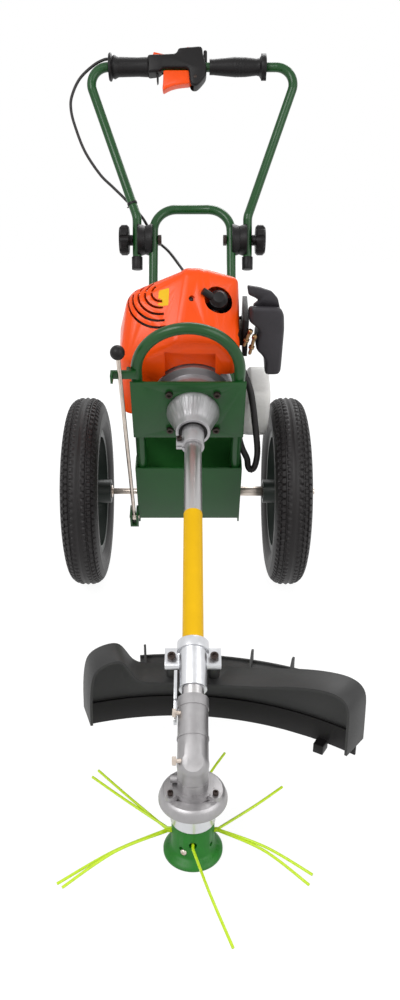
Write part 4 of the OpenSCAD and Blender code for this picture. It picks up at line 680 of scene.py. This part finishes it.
# Muffler and carburettor: a pressed steel box at the cylinder's left and a small die casting at its right.
# Both have the dull brownish skin that heat leaves.
muffler_steel, flow = finish("muffler_steel")
cloud = grain(flow, 8 * mm, 4.0)
coat(muffler_steel, Base_Color=cloud.mix(srgb(70, 62, 58), srgb(106, 98, 92)),
     Metallic=0.8, Roughness=0.4 + cloud * 0.2,
     Normal=bumps(flow, cloud, 0.1 * mm))
dress(muffler_steel, "muffler", "carburettor", edge=1.0)

# Brass fittings at the carburettor: the throttle arm, and two threaded cable adjusters with lock nuts.
# They stand on the front of the filter's base plate.
brass, flow = finish("brass")
cloud = grain(flow, 4 * mm)
coat(brass, Base_Color=cloud.mix(srgb(134, 104, 70), srgb(170, 140, 104)),
     Metallic=1.0, Roughness=0.25 + cloud * 0.15,
     Normal=bumps(flow, cloud, 0.05 * mm))
dress(brass, "throttle_arm", edge=0.3)
thread_pitch = 0.75
nut_line = [(4.4, 0), (4.8, 0.6), (4.8, 3.6), (4.4, 4.2)]
sleeve_line = [(4.0, 0), (4.4, 0.8), (4.4, 6), (3.6, 7)]
pin_line = [(2.2, 0), (2.2, 6)]
back_along = tilted(0, 1, 0) - tilted(0, 0, 0)
adjusters = []
for top, foot in (((104, 11, 380), (93.5, 11, 347)), ((111.5, 11, 371), (104, 11, 330))):
    top, foot = tilted(*top), tilted(*foot)
    way = (top - foot) / mm
    tall = way.length
    turns = int((tall - 2) / thread_pitch)
    thread = [(2.7 + 0.35 * (k % 2), 1 + k * thread_pitch) for k in range(turns)]
    adjusters.append(turned([(2.2, 0)] + thread + [(2.2, tall)], foot, way, 18))
    adjusters.append(turned(nut_line, foot + way * mm * 0.3, way, 24, flats=(0, 1, 2, 3)))
    adjusters.append(turned(sleeve_line, foot + way * mm * 0.78, way, 16))
    adjusters.append(turned(pin_line, foot + way * mm * 0.34, back_along, 12))
piece("cable_adjusters", adjusters, brass, "chassis")

# Air filter: a deep moulded cover over its base plate, drawn in towards the back, with a thin hood above it.
# Dark grey, with the same fine grain as the black parts.
filter_plastic, flow = finish("filter_plastic")
skin = grain(flow, 0.5 * mm, 3.0)
coat(filter_plastic, Base_Color=grain(flow, 30 * mm).mix(srgb(40, 38, 42), srgb(52, 49, 54)),
     Roughness=0.42 + skin * 0.16,
     Normal=bumps(flow, skin, 0.1 * mm), Specular_IOR_Level=0.36)


def rounded(outline, r, steps=4):
    """An outline in millimetres with its corners rounded by about r."""
    made = []
    for i, corner in enumerate(outline):
        corner = Vector(corner)
        a, b = [corner + (Vector(end) - corner) * min(r / (Vector(end) - corner).length, 0.47)
                for end in (outline[i - 1], outline[(i + 1) % len(outline)])]
        for t in (k / steps for k in range(steps + 1)):
            made.append(a.lerp(corner, t).lerp(corner.lerp(b, t), t))
    return made


def moulded(line, r, layers, place):
    """A moulding with its outline drawn in at each (depth, inset); place puts (x, depth, z) in the frame."""
    corners = [Vector(c) for c in line]
    after = [(b - a).normalized() for a, b in zip(corners, corners[1:] + corners[:1])]
    turn = math.copysign(1, sum(a.cross(b) for a, b in zip(corners, corners[1:] + corners[:1])))
    mitres = [turn * Vector((-a.y - b.y, a.x + b.x)) for a, b in zip(after[-1:] + after[:-1], after)]
    points = []
    for depth, inset in layers:
        inner = [c + m * (2 * inset / m.length_squared) for c, m in zip(corners, mitres)]
        points += [place(x, depth, z) for x, z in rounded(inner, max(r - inset, 1))]
    return points, ring_faces(len(layers), len(points) // len(layers))


draw_base, draw_from, draw_rate = 300, 20, 0.0055


def drawn_in(x, y, z):
    """A point of the cover, which loses height towards its back."""
    return tilted(x, y, draw_base + (z - draw_base) * (1 - draw_rate * max(0, y - draw_from)))


cover_line = [(102, 420), (150, 418), (157.5, 404), (160.4, 374), (161.4, 287), (157, 280), (135, 279.6),
              (132.4, 286), (131.8, 310), (125, 322.5), (115.4, 332), (113.4, 350), (118, 371), (111.6, 380),
              (101, 388.7), (101, 400)]
hood_line = [(94.4, 451), (115.7, 447), (135, 440), (146.6, 426), (152.3, 404), (113.5, 404), (105.2, 413.7),
             (114.7, 423.3), (110, 428), (97.4, 434.4)]
cover_layers = ((14, 6.4), (14.7, 4.2), (16.4, 2), (19, 0.7), (23, 0), (62, 0), (80, 2), (85, 4.4), (86, 6.4))
hood_layers = ((29, 1.3), (29.8, 0.3), (33.4, 0.3), (34.2, 1.3))
filter_shell = piece("filter_shell", [moulded(cover_line, 8, cover_layers, drawn_in),
                                      moulded(hood_line, 4, hood_layers, tilted)],
                     filter_plastic, "chassis", 50)
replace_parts(filter_shell, "filter_cover")

# Fuel tank: blow-moulded in milky polyethylene and hung under the crankcase; the soft primer bulb is alike.
# Light goes a little way into the wall.
tank_plastic, flow = finish("tank_plastic")
skin = grain(flow, 6 * mm)
coat(tank_plastic, Base_Color=skin.mix(srgb(222, 220, 216), srgb(236, 235, 232)), Roughness=0.34 + skin * 0.1,
     Normal=bumps(flow, skin, 0.1 * mm), Subsurface_Weight=0.25, Subsurface_Radius=(0.02, 0.02, 0.018))
dress(tank_plastic, "primer_bulb", edge=0.6)

tank_low, tank_high, tank_rise = 128.3, 186.2, 239.6
tank_front, tank_back = 22, 104
rise_from, rise_to = 92, 114
front_out = 8
tank_square = 0.36
seam_out = 1.012
tank_sides = 48
tank_ends = ((-91.8, 0.72), (-91, 0.86), (-88.5, 0.95), (-84, 0.99), (-78, 1))
stations = list(tank_ends) + [(x, 1) for x in range(-60, 92, 20)] + [(x, 1) for x in range(92, 117, 3)]
stations += [(126, 1), (135, 1), (141, 0.99), (145.5, 0.95), (148, 0.86), (148.7, 0.72)]
tank_points = []
for x, share in stations:
    way = min(max((x - rise_from) / (rise_to - rise_from), 0), 1)
    way = way * way * (3 - 2 * way)
    high = tank_high + (tank_rise - tank_high) * way
    front = tank_front - front_out * way
    for k in range(tank_sides):
        turn = 2 * math.pi * k / tank_sides
        c, d = math.cos(turn), math.sin(turn)
        seam = seam_out if k % (tank_sides // 2) == 0 else 1.0
        c, d = math.copysign(abs(c) ** tank_square, c), math.copysign(abs(d) ** tank_square, d)
        y = (front + tank_back) / 2 + share * (tank_back - front) / 2 * c * seam
        z = (tank_low + high) / 2 + share * (high - tank_low) / 2 * d
        tank_points.append(tilted(x, y, z))
tank_form = (tank_points, ring_faces(len(stations), tank_sides))
neck = turned([(13, 0), (13, 11.4), (12.4, 12)], tilted(76, 98, 157.3), back_along, 32)
tank = piece("tank_shell", [tank_form, neck], tank_plastic, "chassis", 50)
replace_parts(tank, "fuel_tank")

# Control housing: two halves of black nylon screwed together round the bar, open below for the trigger.
# Its top has a slot for the lock and one for the red stop switch; a short hook hangs before the trigger.
red, flow = finish("red_moulding")
skin = grain(flow, 1 * mm)
coat(red, Base_Color=skin.mix(srgb(190, 34, 16), srgb(210, 48, 26)), Roughness=0.3 + skin * 0.1,
     Normal=bumps(flow, skin, 0.05 * mm))
dress(red, "stop_switch", edge=0.6)

handle_pivot = Vector((-1.5, 1031.97, 635.09)) * mm
handle_lean = math.radians(18.7)
bar_height = 354


def on_handle(x, y, z):
    """A point in millimetres across, back and up the handle, from the middle of its clamp bolts."""
    return handle_pivot + mm * Vector((x, y * math.cos(handle_lean) + z * math.sin(handle_lean),
                                       z * math.cos(handle_lean) - y * math.sin(handle_lean)))


def on_bar(x, y, z):
    """The same, with its height from the middle of the bar."""
    return on_handle(x, y, bar_height + z)


def box_on_bar(low, high):
    """A plain box between two corners, to cut with."""
    (x0, y0, z0), (x1, y1, z1) = low, high
    points = [on_bar(x, y, z) for x in (x0, x1) for y, z in ((y0, z0), (y1, z0), (y1, z1), (y0, z1))]
    return points, ring_faces(2, 4)


def carved(made, tools, crease=38):
    """The piece with (points, faces) tools cut out of it."""
    made.modifiers.clear()
    cutters = [piece("cutter", [tool], black_plastic) for tool in tools]
    for cutter in cutters:
        cut = made.modifiers.new("cut", "BOOLEAN")
        cut.operation = "DIFFERENCE"
        cut.object = cutter
    bpy.context.view_layer.update()
    shape = bpy.data.meshes.new_from_object(made.evaluated_get(bpy.context.evaluated_depsgraph_get()))
    made.modifiers.clear()
    made.data = shape
    shape.polygons.foreach_set("use_smooth", [True] * len(shape.polygons))
    for cutter in cutters:
        bpy.data.objects.remove(cutter)
    split = made.modifiers.new("split", "EDGE_SPLIT")
    split.split_angle = math.radians(crease)
    return made


house_line = [(-93, 19), (-58, 20), (-36, 21), (-31, 25), (-29, 32), (-12, 33.5), (16, 35.6), (21, 33),
              (22, 20), (27, 6), (30, -8), (29, -22), (23, -30), (15, -39), (8, -44), (-1, -43), (-5.5, -36),
              (-7.5, -12), (-11, -8.5), (-62, -8.5), (-68, -15), (-93, -18)]
house_layers = ((-18, 4.4), (-17.4, 2.6), (-15.8, 1.1), (-13.4, 0.2), (-11, 0), (11, 0), (13.4, 0.2),
                (15.8, 1.1), (17.4, 2.6), (18, 4.4))
small_layers = ((-7, 1), (-6.2, 0.2), (6.2, 0.2), (7, 1))
hook_line = [(-75, -12), (-70, -12), (-70, -31), (-72, -34.5), (-74, -33)]
lug_line = [(23, 8), (31, 8), (31, 29), (29, 31.5), (25, 31.5), (23, 29)]
house = piece("housing_shell", [moulded(house_line, 6, house_layers, on_bar)], black_plastic)
bar_bore = turned([(9.6, -1), (9.6, 130)], on_bar(-94, 0, 0), (1, 0, 0), 40)
trigger_mouth = box_on_bar((-63.5, -12.6, -60), (3, 12.6, 4))
lock_slot = box_on_bar((-84, -8.3, 10.5), (-30, 8.3, 32))
switch_slot = box_on_bar((-16, -4.3, 26), (4, 4.3, 45))
carved(house, [trigger_mouth, bar_bore, lock_slot, switch_slot])
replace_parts(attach(house, "handle"), "control_housing")
piece("housing_lugs", [moulded(line, 2, small_layers, on_bar) for line in (hook_line, lug_line)],
      black_plastic, "handle")
back_way = on_handle(0, 1, 0) - on_handle(0, 0, 0)
house_face = 18
back_screws = ((-76, 4), (-20, 20), (12, 16), (12, -28))
housing_screws = [button_screw(on_bar(x, house_face, z), back_way, 7, 1.6) for x, z in back_screws]
housing_screws.append(button_screw(on_bar(6, -house_face, -26), -back_way, 7, 1.2))
piece("housing_screws", housing_screws, dark_steel, "handle")

# Trigger: an orange moulding in the housing's mouth, a deep channel that rides up round the bar.
# It turns on a pin through the housing's rounded end.
trigger_line = [(-60, -10.5), (-61, -37), (-62.5, -48), (-59.5, -51), (-54, -47.5), (-44, -43), (-31, -39.5),
                (-17, -38), (-5, -37), (0, -31), (0, -22), (-3, -14), (-10, -10.5)]
trigger_layers = ((-12, 2), (-11.6, 1), (-10.6, 0.2), (-9, 0), (9, 0), (10.6, 0.2), (11.6, 1), (12, 2))
trigger_form = moulded(trigger_line, 4, trigger_layers, on_bar)
trigger = piece("trigger_channel", [trigger_form], orange)
carved(trigger, [box_on_bar((-75, -10, -31), (-10, 10, 0))])
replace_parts(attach(trigger, "throttle_trigger"), "trigger")

# Throttle cable: a sheathed steel cable from the grip, in a loop beside the handle, tied to its left leg.
# It goes on behind the clamp and over the engine's back, into the conduit.
cable_black, flow = finish("cable_sheath")
skin = grain(flow, 1.5 * mm)
coat(cable_black, Base_Color=grain(flow, 40 * mm).mix(srgb(20, 17, 17), srgb(32, 28, 28)),
     Roughness=0.4 + skin * 0.16,
     Normal=bumps(flow, skin, 0.08 * mm), Specular_IOR_Level=0.4)
cable_thick = 6
cable_loop = [(-170, 0, 370), (-184, 0, 369), (-207, 2, 358), (-236, 4, 332), (-253, 5, 297), (-255, 6, 270),
              (-247, 6, 237), (-227, 8, 186), (-196, 11, 140), (-170, 13.3, 115), (-152, 13.3, 98),
              (-141, 13.3, 87), (-130, 13.3, 76)]
clamp_turn = [(-103, 1080, 668), (-92, 1084, 648), (-74, 1064, 628), (-50, 1020, 612)]
engine_run = [(-12, 368.1, 268.8), (18, 291.9, 270.8), (48, 208.8, 281.5), (70, 143.1, 294.1)]
conduit_line = [(78, 102, 301), (78, 86, 298), (80, 50, 296), (84, 10, 290), (88, -20, 262), (89, -25, 220),
                (91, -24, 175), (98, -22, 142), (109, -21, 112), (112, -21, 92), (118, -22, 83), (125, -22, 95),
                (127, -22, 135), (118, -22, 208), (108, -19, 270), (96, -8, 302), (90, 2, 309)]
conduit_start = tilted(*conduit_line[0])
conduit_way = (tilted(*conduit_line[1]) - conduit_start).normalized()
cable_points = [on_handle(*p) for p in cable_loop] + [on_handle(-110, 20, 56)]
cable_points += [mm * Vector(p) for p in clamp_turn] + [tilted(*p) for p in engine_run]
cable_path = smooth(cable_points + [conduit_start - 12 * mm * conduit_way, conduit_start], 10)
cable_tube = tube(cable_path, [cable_thick / 2 * mm] * len(cable_path), 14)
cable = piece("throttle_cable", [cable_tube], cable_black)
on_handle(-130, 13.3, 76)
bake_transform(cable)
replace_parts(cable, "cable_upper", "cable_lower")

# Conduit: a corrugated black sleeve on the cable, down the engine's right side and up to the carburettor.
# The cable goes in at its first end, and its other end meets the carburettor's fittings.
rib_pitch = 2.6 * mm
fine = smooth([tilted(*p) for p in conduit_line], 24)
gone = [0.0]
for a, b in zip(fine, fine[1:]):
    gone.append(gone[-1] + (b - a).length)
conduit_path, conduit_radii = [], []
rib = (5.2, 5.9, 6.0, 5.3)
steps = int(gone[-1] / rib_pitch) * len(rib)
at = 0
for step in range(steps + 1):
    want = gone[-1] * step / steps
    while at < len(fine) - 2 and gone[at + 1] < want:
        at += 1
    conduit_path.append(fine[at].lerp(fine[at + 1], (want - gone[at]) / (gone[at + 1] - gone[at])))
    conduit_radii.append(rib[step % len(rib)] * mm)
sleeve = tube(conduit_path, conduit_radii, 14)
conduit = piece("cable_sleeve", [sleeve], cable_black, "chassis", 70)
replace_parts(conduit, "cable_conduit")

# Cable tie: a black nylon strap pulled round the handle's left leg and the cable, with its cut tail.
# The strap locks in a small head that stands on the cable.
tie_height = 76
tie_wide = 4.6
tie_thick = 1.2
leg_r = 9.5
leg_foot, leg_top = Vector((-117, 0, 48)), Vector((-225, 0, 354))
leg_way = (leg_top - leg_foot).normalized()
leg_at = leg_foot + leg_way * ((tie_height - leg_foot.z) / leg_way.z)
loop = smooth(cable_loop, 10)
cable_at = min(loop, key=lambda p: abs((p - leg_at).dot(leg_way)))
flat_x = cable_at - leg_at - leg_way * (cable_at - leg_at).dot(leg_way)
gap = flat_x.length
flat_x.normalize()
flat_y = leg_way.cross(flat_x)
lean = math.acos((leg_r - cable_thick / 2) / gap)
outline = []
for start, end, centre, r in ((lean, 2 * math.pi - lean, 0.0, leg_r), (-lean, lean, gap, cable_thick / 2)):
    outline += [(centre, r, start + (end - start) * k / 24) for k in range(25)]
strap = []
for across, out in ((-0.5, 0.2), (0.5, 0.2), (0.5, tie_thick), (-0.5, tie_thick)):
    for centre, r, turn in outline:
        spot = flat_x * (centre + (r + out) * math.cos(turn)) + flat_y * (r + out) * math.sin(turn)
        strap.append(on_handle(*(leg_at + spot + leg_way * across * tie_wide)))
strap_shape = (strap, ring_faces(4, len(outline), loop=True))
tie_out = flat_x * (gap + cable_thick / 2 + 0.6)
head_line = [(3.2, -2.6), (3.9, -2.0), (3.9, 2.0), (3.2, 2.6)]
tie_middle = on_handle(*(leg_at + tie_out))
tie_axis = on_handle(*(leg_at + tie_out + flat_x)) - tie_middle
tail_way = on_handle(*(leg_at + tie_out + flat_y)) - tie_middle
tail = tube([tie_middle + tail_way * k * 3 for k in range(4)], [1.3 * mm] * 4, 8)
tie_head = turned(head_line, tie_middle, tie_axis, 24, flats=(0, 1, 2, 3))
piece("cable_tie", [strap_shape, tie_head, tail], black_plastic, "handle", 50)

# Lock lever: a plated steel rod hinged at the box's left corner, with a black ball for the hand.
# The keeper on the front hoop holds it upright.
dress(zinc, "lock_lever", edge=0.3)
